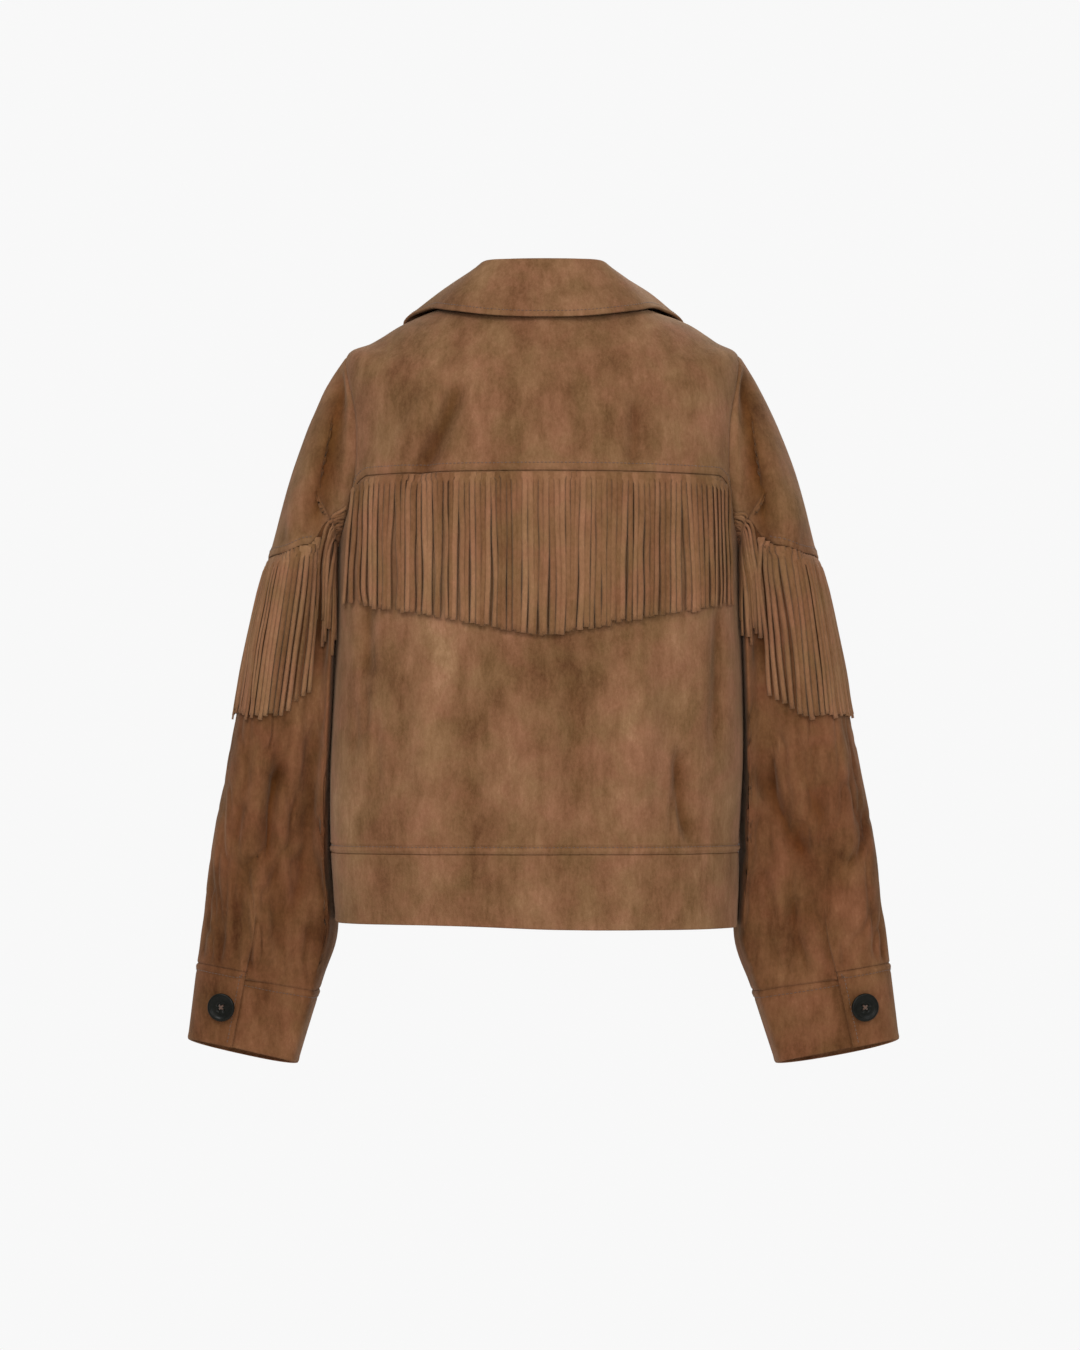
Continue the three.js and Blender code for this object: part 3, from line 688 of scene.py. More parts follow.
class Sleeve:
    """A sleeve on one side, with its folds."""

    def __init__(self, place, side):
        self.place, self.side = place, np.array([side, 1, 1])

    def point(self, turn, level):
        return plain_sleeve_point(turn, level) * self.side

    def normal(self, turn, level):
        return plain_sleeve_normal(turn, level) * self.side

    def relief(self, turn, level):
        return sleeve_relief(self.point(turn, level), self.normal(turn, level), turn, level, self.place)


BODY = Body()
SLEEVES = {"right": Sleeve("right", 1), "left": Sleeve("left", -1)}

# ---------------------------------------------------------------- meshes


def spaced(length, fine_start, fine_end):
    """Distances from 0 to length: close together at a seam or edge, and wide apart over open cloth."""
    marks = [0.0]
    while marks[-1] < length:
        from_end = length - marks[-1]
        near = (fine_start and marks[-1] < SEAM_REACH) or (fine_end and from_end < SEAM_REACH + OPEN_STEP)
        marks.append(marks[-1] + (SEAM_STEP if near else OPEN_STEP))
    return np.array(marks) * length / marks[-1]


def spaced_shares(curve, fine_start=True, fine_end=True):
    """Shares from 0 to 1 along a curve of points, spaced as above by the curve's real length."""
    length = path_length(curve)
    marks = spaced(length[-1], fine_start, fine_end)
    return np.interp(marks, length, np.linspace(0, 1, len(length)))


def edge_distance(points, side):
    """How far each grid point is from one side of its grid, measured along the cloth."""
    lines = points.swapaxes(0, 1) if side in ("top", "bottom") else points
    order = -1 if side in ("bottom", "end") else 1
    distance = path_length(lines[::order])[::order]
    return distance.T if side in ("top", "bottom") else distance


def grid_normals(points, outward, wrap):
    """The directions of a grid of points, on the side of outward."""
    if wrap:
        along = np.roll(points, -1, 0) - np.roll(points, 1, 0)
    else:
        along = np.gradient(points, axis=0)
    normals = unit(np.cross(along, np.gradient(points, axis=1)))
    flip = np.sum(normals * outward, axis=-1, keepdims=True) < 0
    return np.where(flip, -normals, normals)


# Below the arms the body hangs a little to the left, and the sleeves' inner sides with it.
HANG_SHIFT = 7
HANG_TOP = -230
HANG_SPAN = 250
HANG_WIDTH = 200
HANG_FADE = 110
# The hem is higher on the left.
HEM_RISE = 4.5
HEM_RISE_START = 60
HEM_RISE_WIDTH = 170
HEM_RISE_REACH = 190
HEM_RISE_FADE = 14
HEM_RISE_TOP = -500
HEM_RISE_SPAN = 55
# On the right the side is drawn in beside the fringes, with the sleeve's inner side.
SIDE_TUCK = 9.5
SIDE_TUCK_Z = -225
SIDE_TUCK_SPAN = 115
SIDE_TUCK_START = 150
SIDE_TUCK_GROWTH = 35
SIDE_TUCK_END = 195
SIDE_TUCK_FADE = 40


def hung(points):
    """Points of the even jacket, moved to where they hang in the photo."""
    points = np.array(points, float)
    x, z = points[..., 0].copy(), points[..., 2].copy()
    near_body = 1 - smooth((np.abs(x) - HANG_WIDTH) / HANG_FADE)
    shift = HANG_SHIFT * smooth((HANG_TOP - z) / HANG_SPAN) * near_body
    beside = smooth((x - SIDE_TUCK_START) / SIDE_TUCK_GROWTH)
    beside = beside * (1 - smooth((x - SIDE_TUCK_END) / SIDE_TUCK_FADE))
    points[..., 0] = x - shift - SIDE_TUCK * bump(z - SIDE_TUCK_Z, SIDE_TUCK_SPAN) * beside
    on_body = 1 - smooth((np.abs(x) - HEM_RISE_REACH) / HEM_RISE_FADE)
    leftward = smooth((HEM_RISE_START - x) / HEM_RISE_WIDTH) * on_body
    points[..., 2] = z + HEM_RISE * leftward * smooth((HEM_RISE_TOP - z) / HEM_RISE_SPAN)
    return points


def new_object(name, vertices, faces, material, values=None):
    """A smooth mesh object from millimetres, with named numbers on its vertices."""
    mesh = bpy.data.meshes.new(name)
    mesh.from_pydata((hung(vertices) * MM).tolist(), [], [tuple(face) for face in faces])
    mesh.polygons.foreach_set("use_smooth", [True] * len(mesh.polygons))
    for key, numbers in (values or {}).items():
        mesh.attributes.new(key, "FLOAT", "POINT").data.foreach_set("value", np.asarray(numbers, float))
    mesh.materials.append(material)
    mesh.validate()
    piece = bpy.data.objects.new(name, mesh)
    bpy.context.scene.collection.objects.link(piece)
    return piece


def tube_faces(index):
    """The faces between neighbouring rings, from vertex numbers whose last axis goes round."""
    right = np.roll(index, -1, -1)
    corners = [index[..., :-1, :], right[..., :-1, :], right[..., 1:, :], index[..., 1:, :]]
    return np.stack(corners, -1).reshape(-1, 4)


def joined(parts):
    """Vertices and faces of several meshes, as one."""
    vertices, faces, first = [], [], 0
    for points, polygons in parts:
        vertices.append(points)
        faces += [[int(k) + first for k in polygon] for polygon in polygons]
        first += len(points)
    return np.concatenate(vertices), faces


def rim_loops(columns, rows, wrap):
    """The grid's border as loops of (column, row), each with the step towards the inside."""
    if wrap:
        top = [(i, 0, 0, 1) for i in range(columns)]
        return [top, [(i, rows - 1, 0, -1) for i in reversed(range(columns))]]
    last, low = columns - 1, rows - 1
    border = [(i, 0) for i in range(last)] + [(last, j) for j in range(low)]
    border += [(i, low) for i in range(last, 0, -1)] + [(0, j) for j in range(low, 0, -1)]
    return [[(i, j, (i == 0) - (i == last), (j == 0) - (j == low)) for i, j in border]]


RIM_SHARE = 0.12


def cloth_shell(name, outer, normals, thickness, material, wrap=False, values=None):
    """A closed thin shell: the outer grid, the same grid moved in, and a rounded rim between them."""
    columns, rows = outer.shape[:2]
    inner = outer - normals * thickness
    count = columns * rows
    vertices = [outer.reshape(-1, 3), inner.reshape(-1, 3)]
    index = np.arange(count).reshape(columns, rows)
    right = np.roll(index, -1, 0) if wrap else index[1:]
    left = index if wrap else index[:-1]
    quads = np.stack([left[:, :-1], right[:, :-1], right[:, 1:], left[:, 1:]], -1).reshape(-1, 4)
    faces = [quads, quads[:, ::-1] + count]
    rim_start = 2 * count
    sources = []
    for loop in rim_loops(columns, rows, wrap):
        i, j, di, dj = np.array(loop).T
        middle = (outer[i, j] + inner[i, j]) / 2
        inside = (outer[i + di, j + dj] + inner[i + di, j + dj]) / 2
        vertices.append(middle + unit(middle - inside) * thickness * RIM_SHARE)
        rim = rim_start + np.arange(len(loop))
        edge = index[i, j]
        rim_next, edge_next = np.roll(rim, -1), np.roll(edge, -1)
        faces.append(np.stack([edge, rim, rim_next, edge_next], -1))
        faces.append(np.stack([edge + count, edge_next + count, rim_next, rim], -1))
        rim_start += len(loop)
        sources.append(edge)
    source = np.concatenate([index.ravel(), index.ravel(), *sources])
    spread = {key: np.asarray(numbers).ravel()[source] for key, numbers in (values or {}).items()}
    vertices = np.concatenate(vertices)
    faces = np.concatenate(faces)
    if signed_volume(vertices, faces) < 0:
        faces = faces[:, ::-1]
    return new_object(name, vertices, faces.tolist(), material, spread)


def signed_volume(vertices, faces):
    a, b, c, d = (vertices[faces[:, k]] for k in range(4))
    return float(np.sum(a * np.cross(b, c)) + np.sum(a * np.cross(c, d)))


# ---------------------------------------------------------------- cloth pieces

# The kinds of edge. Pull: how far the edge is drawn in; below 0 it goes on under its neighbour.
# Raised: the seam allowance, up to the stitches. Tuck: how far the edge dips under the next piece.
# Waves: height, distance from the edge and width.
EDGES = {
    "lap": {"pull": 0.1, "raised": 1.3, "waves": ((-1.7, 7, 1.7), (-1.3, 0, 2.2))},
    "soft_lap": {"pull": 0.3, "raised": 0.8, "waves": ((-0.3, 7, 1.5), (-0.8, 0, 2))},
    "cuff": {"pull": 0.0, "waves": ((0.6, 3.5, 2.6), (-0.35, 8, 1.8), (-1.1, 0, 1.6))},
    "under": {"pull": -3.0, "tuck": 1.7},
    "flush": {"pull": -2.5, "tuck": 0.5},
    "butt": {"pull": -0.3, "waves": ((0.35, 5.5, 3), (-0.3, 0, 2))},
    "turned": {"pull": 0.3, "waves": ((0.35, 2.5, 3), (-0.35, 0, 1.2))},
    "plain": {"pull": 0.3},
}
PUCKERED = ("lap", "soft_lap", "cuff", "butt")
PUCKER = 0.35
PUCKER_REACH = 9
PUCKER_SIZE = (7, 7, 7)
RAISED_FADE = 5
TUCK_REACH = 2.1
DRAW_REACH = 8


def sides(top, bottom, start="plain", end="plain"):
    """The kinds of a grid's four edges."""
    return {"top": top, "bottom": bottom, "start": start, "end": end}


def edge_relief(points, side, kind):
    """How far the cloth stands out beside an edge, with the puckers of its seam."""
    distance = edge_distance(points, side)
    edge = EDGES[kind]
    relief = edge.get("raised", 0) * (1 - smooth((distance - LAP_STITCH) / RAISED_FADE))
    relief -= edge.get("tuck", 0) * (1 - smooth(distance / TUCK_REACH))
    for height, place, width in edge.get("waves", ()):
        relief += height * bump(distance - place, width)
    if kind in PUCKERED:
        relief += PUCKER * bump(distance, PUCKER_REACH) * noise(points, PUCKER_SIZE, 31)
    return relief


def draw_in(points, side, pull):
    """Moves one side of a grid in along the cloth, and less and less further in."""
    share = np.clip(1 - edge_distance(points, side) / DRAW_REACH, 0, 1)[..., None]
    inwards = unit(np.gradient(points, axis=1 if side in ("top", "bottom") else 0))
    order = -1 if side in ("bottom", "end") else 1
    return points + order * inwards * pull * share


class Cloth:
    """A piece of cloth from a smooth grid of points, the directions out of it and the relief on it."""

    def __init__(self, plain, outward, relief, thickness, edges, wrap=False, lift=0.0):
        self.thickness, self.wrap = thickness, wrap
        self.relief = relief + sum(edge_relief(plain, side, kind) for side, kind in edges.items())
        points = plain + outward * (self.relief + lift)[..., None]
        for side, kind in edges.items():
            points = draw_in(points, side, EDGES[kind]["pull"])
        self.points, self.normals = points, grid_normals(points, outward, wrap)

    def build(self, name, material):
        # The relief goes onto the vertices, where the suede paints shade in sunken cloth and a highlight on raised
        # cloth.
        return cloth_shell(
            name, self.points, self.normals, self.thickness, material, self.wrap, {"relief": self.relief})

    def line(self, side, distance):
        """Points and directions along the cloth at a distance from one side."""
        reach, grids = edge_distance(self.points, side), (self.points, self.normals)
        if side in ("start", "end"):
            reach, grids = reach.T, [grid.swapaxes(0, 1) for grid in grids]
        order = -1 if side in ("bottom", "end") else 1
        read = [np.array([read_path(distance, row[::order], line[::order]) for row, line in zip(reach, grid)])
                for grid in grids]
        if self.wrap:
            read = [np.vstack([values, values[:1]]) for values in read]
        return read[0], unit(read[1])


def surface_cloth(surface, angle, level, thickness, edges, wrap=False, lift=0.0):
    """Cloth on the body or a sleeve, from a grid of angles and levels."""
    angle, level = np.broadcast_arrays(angle, level)
    return Cloth(surface.point(angle, level), surface.normal(angle, level), surface.relief(angle, level),
                 thickness, edges, wrap, lift)


def yoke_seam(column):
    """The level of the back's yoke seam, which drops a little at its two ends."""
    return YOKE_LEVEL + YOKE_END_DROP * smooth((np.abs(column) - YOKE_DROP_START) / YOKE_DROP_SPAN)


def at_level(level):
    return lambda column: level + 0 * column


BACK, FRONT = 1, -1
BACK_REACH = PLUMB_COLUMNS + EDGE_COLUMNS
PANEL_SAMPLES = 200


def panel_cloth(face, first, last, top, bottom, sample_level, thickness, edges):
    """A panel between two columns and two lines, each a level that may depend on the column."""
    def angle_of(column, level):
        return face * (column_lean(column, level) - math.pi / 2)

    sample = np.linspace(first, last, PANEL_SAMPLES)
    shares = spaced_shares(body_point(angle_of(sample, sample_level), sample_level))
    column = mix(first, last, shares)[:, None]
    middle = (first + last) / 2
    run = np.linspace(top(middle), bottom(middle), PANEL_SAMPLES)
    rows = spaced_shares(body_point(angle_of(middle, run), run))[None, :]
    level = mix(top(column), bottom(column), rows)
    return surface_cloth(BODY, angle_of(column, level), level, thickness, edges)


PLACKET_SAMPLES = 400


def placket_cloth():
    levels = np.linspace(NECK_LEVEL, HEM_LEVEL, PLACKET_SAMPLES)
    level = mix(NECK_LEVEL, HEM_LEVEL, spaced_shares(body_point(math.pi / 2, levels)))[None, :]
    across = (spaced(2 * PLACKET_HALF_WIDTH, True, True) - PLACKET_HALF_WIDTH)[:, None]
    edges = sides("turned", "turned", "turned", "turned")
    return surface_cloth(
        BODY, math.pi / 2 + lean_at(across, level), level, BAND_CLOTH, edges, lift=PLACKET_LIFT)


# ---------------------------------------------------------------- sleeves

SLEEVE_STEP = math.radians(2.4)
SLIT_REACH = math.radians(9)
SLIT_STEP = math.radians(0.35)
SLEEVE_SAMPLES = 300


def sleeve_turns():
    """Turns round a sleeve, close together at the slit above the cuff."""
    turns = [0.0]
    while turns[-1] < 2 * math.pi:
        near = abs(turns[-1] - SLIT_TURN) < SLIT_REACH
        turns.append(turns[-1] + (SLIT_STEP if near else SLEEVE_STEP))
    return np.array(turns[:-1]) * (2 * math.pi / turns[-1])


def sleeve_cloth(surface, top, bottom, edges):
    """A tube of sleeve between two lines, each a level that may depend on the turn."""
    turn = sleeve_turns()[:, None]
    sample = math.pi / 2
    run = np.linspace(top(sample), bottom(sample), SLEEVE_SAMPLES)
    rows = spaced_shares(plain_sleeve_point(sample, run))[None, :]
    return surface_cloth(surface, turn, mix(top(turn), bottom(turn), rows), CLOTH, edges, wrap=True)


def seam_line(turn):
    return sleeve_line("seamLevel", turn)


# The sleeve yoke's stitches stop where its seam climbs under the arm.
YOKE_STITCH_REACH = math.radians(108)


def outer_part(line, reach):
    """The part of a line round a sleeve that is within a turn of its outer side."""
    around = wrapped(sleeve_turns())
    order = np.argsort(around)
    kept = order[np.abs(around[order]) < reach]
    return tuple(values[kept] for values in line)


CUFF_UNDER_END = math.radians(15)
CUFF_OVER_END = SLIT_TURN
CUFF_STEP_END = math.radians(105)
CUFF_RISE = 0.11
CUFF_SAMPLES = 400
CUFF_ROW_SAMPLES = 60


def cuff_top(share):
    """The level of the cuff's top edge, by the share of the way from its inner end to its outer end."""
    return CUFF_LEVEL + CUFF_RISE * (0.4 - share)


def cuff_line(turn):
    return cuff_top(np.mod(turn - CUFF_OVER_END, 2 * math.pi) / (2 * math.pi))


CUFF_BUTTON_TURN = math.radians(63)
CUFF_BUTTON_LEVEL = 12.5
CUFF_BUTTON_LIFT = 0.2


def cuff_cloth(surface):
    """A strip that goes once round and laps over itself at the back."""
    sample = np.linspace(CUFF_UNDER_END, CUFF_OVER_END + 2 * math.pi, CUFF_SAMPLES)
    shares = spaced_shares(plain_sleeve_point(sample, CUFF_BUTTON_LEVEL))
    turn = mix(sample[0], sample[-1], shares)[:, None]
    run = np.linspace(CUFF_LEVEL, CUFF_HEM_LEVEL, CUFF_ROW_SAMPLES)
    rows = spaced_shares(plain_sleeve_point(math.pi / 2, run))
    top = cuff_top(np.clip((turn - CUFF_OVER_END) / (2 * math.pi), 0, 1))
    layer = BAND_CLOTH + LAY_GAP
    shift = -layer * (1 - smooth((turn - CUFF_OVER_END) / (CUFF_STEP_END - CUFF_OVER_END)))
    return surface_cloth(surface, turn, mix(top, CUFF_HEM_LEVEL, rows[None, :]), BAND_CLOTH,
                         sides("cuff", "turned", "plain", "turned"), lift=shift)


# ---------------------------------------------------------------- collar

COLLAR_END_TURN = math.radians(177)
COLLAR_STEPS = 260
ROLL_RADIUS = 3.4
ROLL_END = math.radians(45)
ROLL_STEPS = 12
STAND_STEPS = 14
COLLAR_BULGE = 1.5
COLLAR_GAP = 0.8
COLLAR_WAVES = ((0.7, (34, 34, 26), 41),)
# A shallow hollow in the middle of the collar's back.
COLLAR_DIP = 2.0
COLLAR_DIP_WIDTH = 46
COLLAR_DIP_Z = 28
COLLAR_DIP_HEIGHT = 15
COLLAR_DIP_DEPTH = 30
UP = np.array([0, 0, 1])


def collar_fold(turn):
    read = read_row(COLLAR_SECTIONS, "turn", np.degrees(np.abs(turn)))
    return np.stack([np.sign(turn) * read["foldX"], read["foldY"], read["foldZ"]], -1), read


def collar_section():
    """The collar's turns, directions away from the neck, centres of the fold, edges and their directions."""
    turn = np.linspace(-COLLAR_END_TURN, COLLAR_END_TURN, COLLAR_STEPS + 1)
    fold, read = collar_fold(turn)
    along = collar_fold(turn + SMALL_STEP)[0] - collar_fold(turn - SMALL_STEP)[0]
    away = unit(np.stack([along[..., 1], -along[..., 0], 0 * turn], -1))
    edge_angle = np.radians(read["edgeAngle"])
    place = np.where(turn < 0, math.pi - edge_angle, edge_angle), read["edgeLevel"]
    edge_normal = body_normal(*place)
    edge = body_point(*place) + edge_normal * read["edgeLift"][:, None]
    return turn, away[:, None], (fold - UP * ROLL_RADIUS)[:, None], edge[:, None], edge_normal[:, None]


def collar_stand():
    turn, away, centre, _, _ = collar_section()
    seam = body_point(turn - math.pi / 2, NECK_LEVEL)[:, None] + UP * COLLAR_GAP
    top = centre + away * (COLLAR_CLOTH - ROLL_RADIUS) - UP * COLLAR_GAP
    points = mix(seam, top, np.linspace(0, 1, STAND_STEPS + 1)[None, :, None])
    outward = np.broadcast_to(away, points.shape)
    return Cloth(points, outward, np.zeros(points.shape[:2]), COLLAR_CLOTH, sides("plain", "plain"))


def collar_fall():
    """The fall rolls over the stand and lies down towards the shoulders."""
    _, away, centre, edge, edge_normal = collar_section()
    roll = np.linspace(math.pi, ROLL_END, ROLL_STEPS + 1)[None, :, None]
    rolled = away * np.cos(roll) + UP * np.sin(roll)
    marks = spaced(float(np.median(np.linalg.norm(edge - centre, axis=-1))), False, True)
    share = (marks[1:] / marks[-1])[None, :, None]
    leaf_normal = unit(mix(rolled[:, -1:], edge_normal, share))
    roll_points = centre + rolled * ROLL_RADIUS
    leaf = mix(roll_points[:, -1:], edge, share) + leaf_normal * COLLAR_BULGE * np.sin(math.pi * share)
    points = np.concatenate([roll_points, leaf], axis=1)
    outward = np.concatenate([rolled, leaf_normal], axis=1)
    x, y, z = np.moveaxis(points, -1, 0)
    dip = COLLAR_DIP * smooth(-y / COLLAR_DIP_DEPTH) * bump(x, COLLAR_DIP_WIDTH)
    dip = dip * bump(z - COLLAR_DIP_Z, COLLAR_DIP_HEIGHT)
    relief = waves(points, COLLAR_WAVES) - dip
    relief[:, :ROLL_STEPS] *= np.linspace(0, 1, ROLL_STEPS)
    return Cloth(points, outward, relief, COLLAR_CLOTH, sides("plain", "turned", "turned", "turned"))


# ---------------------------------------------------------------- fringe

STRIP_PITCH = 4.75
STRIP_WIDTH = 5.5
STRIP_THICKNESS = 1.1
STRIP_CROWN = 1.15
STRIP_RINGS = 40
STRIP_KICK = 2.2
SLEEVE_KICK = 0.7
# The share of the sleeve's folds that the strips follow.
STRIP_FOLLOWS = 0.8
# Strips start this deep under the seam and come out of it within this share of their length.
STRIP_TUCK = 0.5
STRIP_TUCK_SHARE = 0.03
STRIP_GAP = LAY_GAP + 0.3
HEADING_WIDTH = 1.5
PARTING_SHARE = 0.03
SEAM_SHOW = 0.03
BACK_FRINGE_REACH = 174
BACK_FRINGE_POINT = 9.19
BACK_FRINGE_END = 8.75
SLEEVE_FRINGE_REACH = math.radians(111)
SLEEVE_STRIP_PITCH = 4.4
SLEEVE_STRIP_SHARE = 0.88
SLEEVE_PLUMB = 0.45
SLEEVE_CUT = 3

# The strips gathered under the arm: where they start round the armhole, where they hang, and their end.
BUNCH_START = math.radians(127)
BUNCH_END = math.radians(162)
BUNCH_HANG_START = math.radians(122)
BUNCH_HANG_END = math.radians(174)
BUNCH_ARCH = math.radians(4.5)
BUNCH_ARCH_LEVEL = 0.8
BUNCH_ARCH_WIDTH = 0.5
BUNCH_CROSSING = math.radians(5)
BUNCH_COUNT = 15
BUNCH_TURNED = 3.0
BUNCH_BOTTOM = 6.5
BUNCH_CUT = 12
BUNCH_SHARE = 0.66

# A strip's cross-section: shares of its half width, and of its half thickness with the crown's share.
STRIP_SECTION = table(
    "across out crown",
    (-1, 0, 0),
    (-0.62, 0.9, 0.48),
    (0, 1, 1),
    (0.62, 0.9, 0.48),
    (1, 0, 0),
    (0.62, -0.9, 0.48),
    (0, -1, 1),
    (-0.62, -0.9, 0.48),
)


STRIP_CAP = ((0, 1, 7), (1, 2, 6, 7), (2, 3, 5, 6), (3, 4, 5))


def strip_mesh(path, outward, width, twist, parted):
    """Vertices and faces of one strip along a path, with closed ends."""
    along = unit(np.gradient(path, axis=0))
    across = unit(np.cross(outward, along))
    out = np.cross(along, across)
    cosine, sine = np.cos(twist)[:, None], np.sin(twist)[:, None]
    across, out = across * cosine + out * sine, out * cosine - across * sine
    section = STRIP_SECTION
    side = section["across"] * (width / 2)[:, None]
    height = section["out"] * STRIP_THICKNESS / 2 + section["crown"] * STRIP_CROWN * parted[:, None]
    rings = path[:, None] + across[:, None] * side[:, :, None] + out[:, None] * height[:, :, None]
    index = np.arange(side.size).reshape(side.shape)
    faces = tube_faces(index)[:, [0, 3, 2, 1]].tolist()
    for ring, order in ((index[0], 1), (index[-1], -1)):
        faces += [[ring[k] for k in corners][::order] for corners in STRIP_CAP]
    return rings.reshape(-1, 3), faces


def strip_habit(random):
    """What differs from one strip to the next."""
    return {
        "width": STRIP_WIDTH * random.uniform(1.0, 1.2),
        "lean": random.normal(0, 0.8),
        "sway": random.uniform(0.2, 0.9),
        "phase": random.uniform(0, 2 * math.pi),
        "wave": random.uniform(1.2, 2.4),
        "twist": math.radians(random.normal(0, 13)),
        "layer": random.uniform(0, 1.1),
        "start": random.uniform(0.035, 0.085),
        "cut": random.normal(0, 0.012),
        "tone": random.uniform(-1, 1),
    }


def finished_strip(habit, path, outward, share, width_share=1.0):
    """A strip starts in the uncut heading, where it is flat and runs into its neighbours."""
    parted = smooth((share - habit["start"]) / PARTING_SHARE)
    width = width_share * habit["width"] * mix(HEADING_WIDTH, 1, parted)
    return path, outward, width, habit["twist"] * parted, parted, habit["tone"]


def strip_lift(habit, share, kick):
    """How far a strip's middle is from the cloth under it: tucked under the yoke, and free at its end."""
    free = STRIP_GAP + habit["layer"] * smooth((share - habit["start"]) * 5) + kick * share ** 2
    return mix(-STRIP_TUCK, free, smooth(share / STRIP_TUCK_SHARE))


def strip_sway(habit, share):
    return habit["sway"] * share * np.sin(habit["phase"] + habit["wave"] * 2 * math.pi * share)


# Places along the back fringe where strips part, with how far.
FRINGE_PARTINGS = table(
    "x push width",
    (-132, 2.2, 8),
    (-96, -1.2, 10),
    (-48, 1.2, 9),
    (22, -1.4, 12),
    (74, 1.3, 9),
    (126, 2.6, 8),
    (148, -1.0, 7),
)

# Strips have more rings at their start. Neighbours drift together, and the outermost strips outwards.
STRIP_SHARES = np.linspace(0, 1, STRIP_RINGS) ** 1.3
BACK_FRINGE_SEED = 5
GROUP_DRIFT = 1.6
GROUP_SIZE = (26, 1, 1)
END_DRIFT = 4


def back_fringe_strips():
    random = np.random.default_rng(BACK_FRINGE_SEED)
    count = round(2 * BACK_FRINGE_REACH / STRIP_PITCH)
    share = STRIP_SHARES
    strips = []
    for start in np.linspace(-BACK_FRINGE_REACH, BACK_FRINGE_REACH, count + 1):
        habit = strip_habit(random)
        parting = FRINGE_PARTINGS["push"] * np.sign(start - FRINGE_PARTINGS["x"])
        drift = np.sum(parting * bump(start - FRINGE_PARTINGS["x"], FRINGE_PARTINGS["width"]))
        drift += habit["lean"] + GROUP_DRIFT * float(noise(np.array([start, 0, 0]), GROUP_SIZE, 51))
        drift += END_DRIFT * (start / BACK_FRINGE_REACH) ** 9
        top = yoke_seam(start / PLUMB_REACH * PLUMB_COLUMNS) + SEAM_SHOW
        bottom = mix(BACK_FRINGE_POINT, BACK_FRINGE_END, abs(start) / PLUMB_REACH) + habit["cut"]
        level = mix(top, bottom, share)
        angle = lean_at(start + drift * smooth(share) + strip_sway(habit, share), level) - math.pi / 2
        outward = body_normal(angle, level)
        lift = strip_lift(habit, share, STRIP_KICK) + BODY.relief(angle, level)
        path = body_point(angle, level) + outward * lift[:, None]
        strips.append(finished_strip(habit, path, outward, share))
    return strips


class SleeveArcs:
    """Turns round a sleeve by the distance along the cloth from its outer side."""

    COUNT = 721
    STEP = 0.25

    def __init__(self):
        self.turns = np.linspace(-math.pi, math.pi, self.COUNT)
        levels = np.arange(0, CUFF_HEM_LEVEL + self.STEP / 2, self.STEP)
        length = path_length(plain_sleeve_point(self.turns[:, None], levels[None, :]))
        self.lengths = length - length[len(self.turns) // 2]

    def blend(self, level, read):
        below = int(np.clip(level / self.STEP, 0, self.lengths.shape[1] - 2))
        return mix(read(self.lengths[:, below]), read(self.lengths[:, below + 1]), level / self.STEP - below)

    def distance(self, turn, level):
        return self.blend(level, lambda lengths: np.interp(turn, self.turns, lengths))

    def turn(self, distance, level):
        return self.blend(level, lambda lengths: np.interp(distance, lengths, self.turns))


ARCS = SleeveArcs()
SEAM_SAMPLES = 1200


def sleeve_strip_starts():
    """Turns at which the strips start, evenly spaced along the seam."""
    turns = np.linspace(-SLEEVE_FRINGE_REACH, SLEEVE_FRINGE_REACH, SEAM_SAMPLES)
    length = path_length(plain_sleeve_point(turns, seam_line(turns)))
    count = round(length[-1] / SLEEVE_STRIP_PITCH)
    return np.interp(np.linspace(0, length[-1], count + 1), length, turns)


def sleeve_strip(surface, habit, turn, level, width_share):
    """One strip from its places on the sleeve, with its own drift and lift."""
    share = STRIP_SHARES
    drift = habit["lean"] * smooth(share) + strip_sway(habit, share)
    turn = turn + drift / read_table(SLEEVE_SECTIONS, "ring", "halfDepth", level)
    outward = surface.normal(turn, level)
    lift = strip_lift(habit, share, SLEEVE_KICK) + STRIP_FOLLOWS * surface.relief(turn, level)
    path = surface.point(turn, level) + outward * lift[:, None]
    return finished_strip(habit, path, outward, share, width_share)


def sleeve_fringe_strips(surface, seed):
    """Strips that hang from the yoke seam, and those that fan out of the armhole and hang under the arm."""
    random = np.random.default_rng(seed)
    strips = []
    for start in sleeve_strip_starts():
        habit = strip_habit(random)
        bottom = sleeve_line("fringeLevel", start) + habit["cut"] * SLEEVE_CUT
        level = mix(seam_line(start) + SEAM_SHOW, bottom, STRIP_SHARES)
        distance = ARCS.distance(start, float(level[0]))
        parallel = np.array([ARCS.turn(distance, at) for at in level])
        turn = mix(start, parallel, SLEEVE_PLUMB)
        strips.append(sleeve_strip(surface, habit, turn, level, SLEEVE_STRIP_SHARE))
    for side in (1, -1):
        for place in np.linspace(0, 1, BUNCH_COUNT):
            habit = strip_habit(random)
            habit["start"] = 0
            level = mix(SEAM_SHOW, BUNCH_BOTTOM + habit["cut"] * BUNCH_CUT, STRIP_SHARES)
            start, hang = mix(BUNCH_START, BUNCH_END, place), mix(BUNCH_HANG_START, BUNCH_HANG_END, place)
            arch = BUNCH_ARCH * random.uniform(0.2, 1.7)
            crossing = BUNCH_CROSSING * random.uniform(-1, 1)
            turn = mix(start + crossing, hang - crossing, smooth(level / BUNCH_TURNED))
            turn = turn - arch * bump(level - BUNCH_ARCH_LEVEL, BUNCH_ARCH_WIDTH)
            strips.append(sleeve_strip(surface, habit, side * turn, level, BUNCH_SHARE))
    return strips


# ---------------------------------------------------------------- stitches

STITCH_PITCH = 3.6
STITCH_LENGTH = 2.7
STITCH_RADIUS = 0.34
STITCH_SIDES = 6
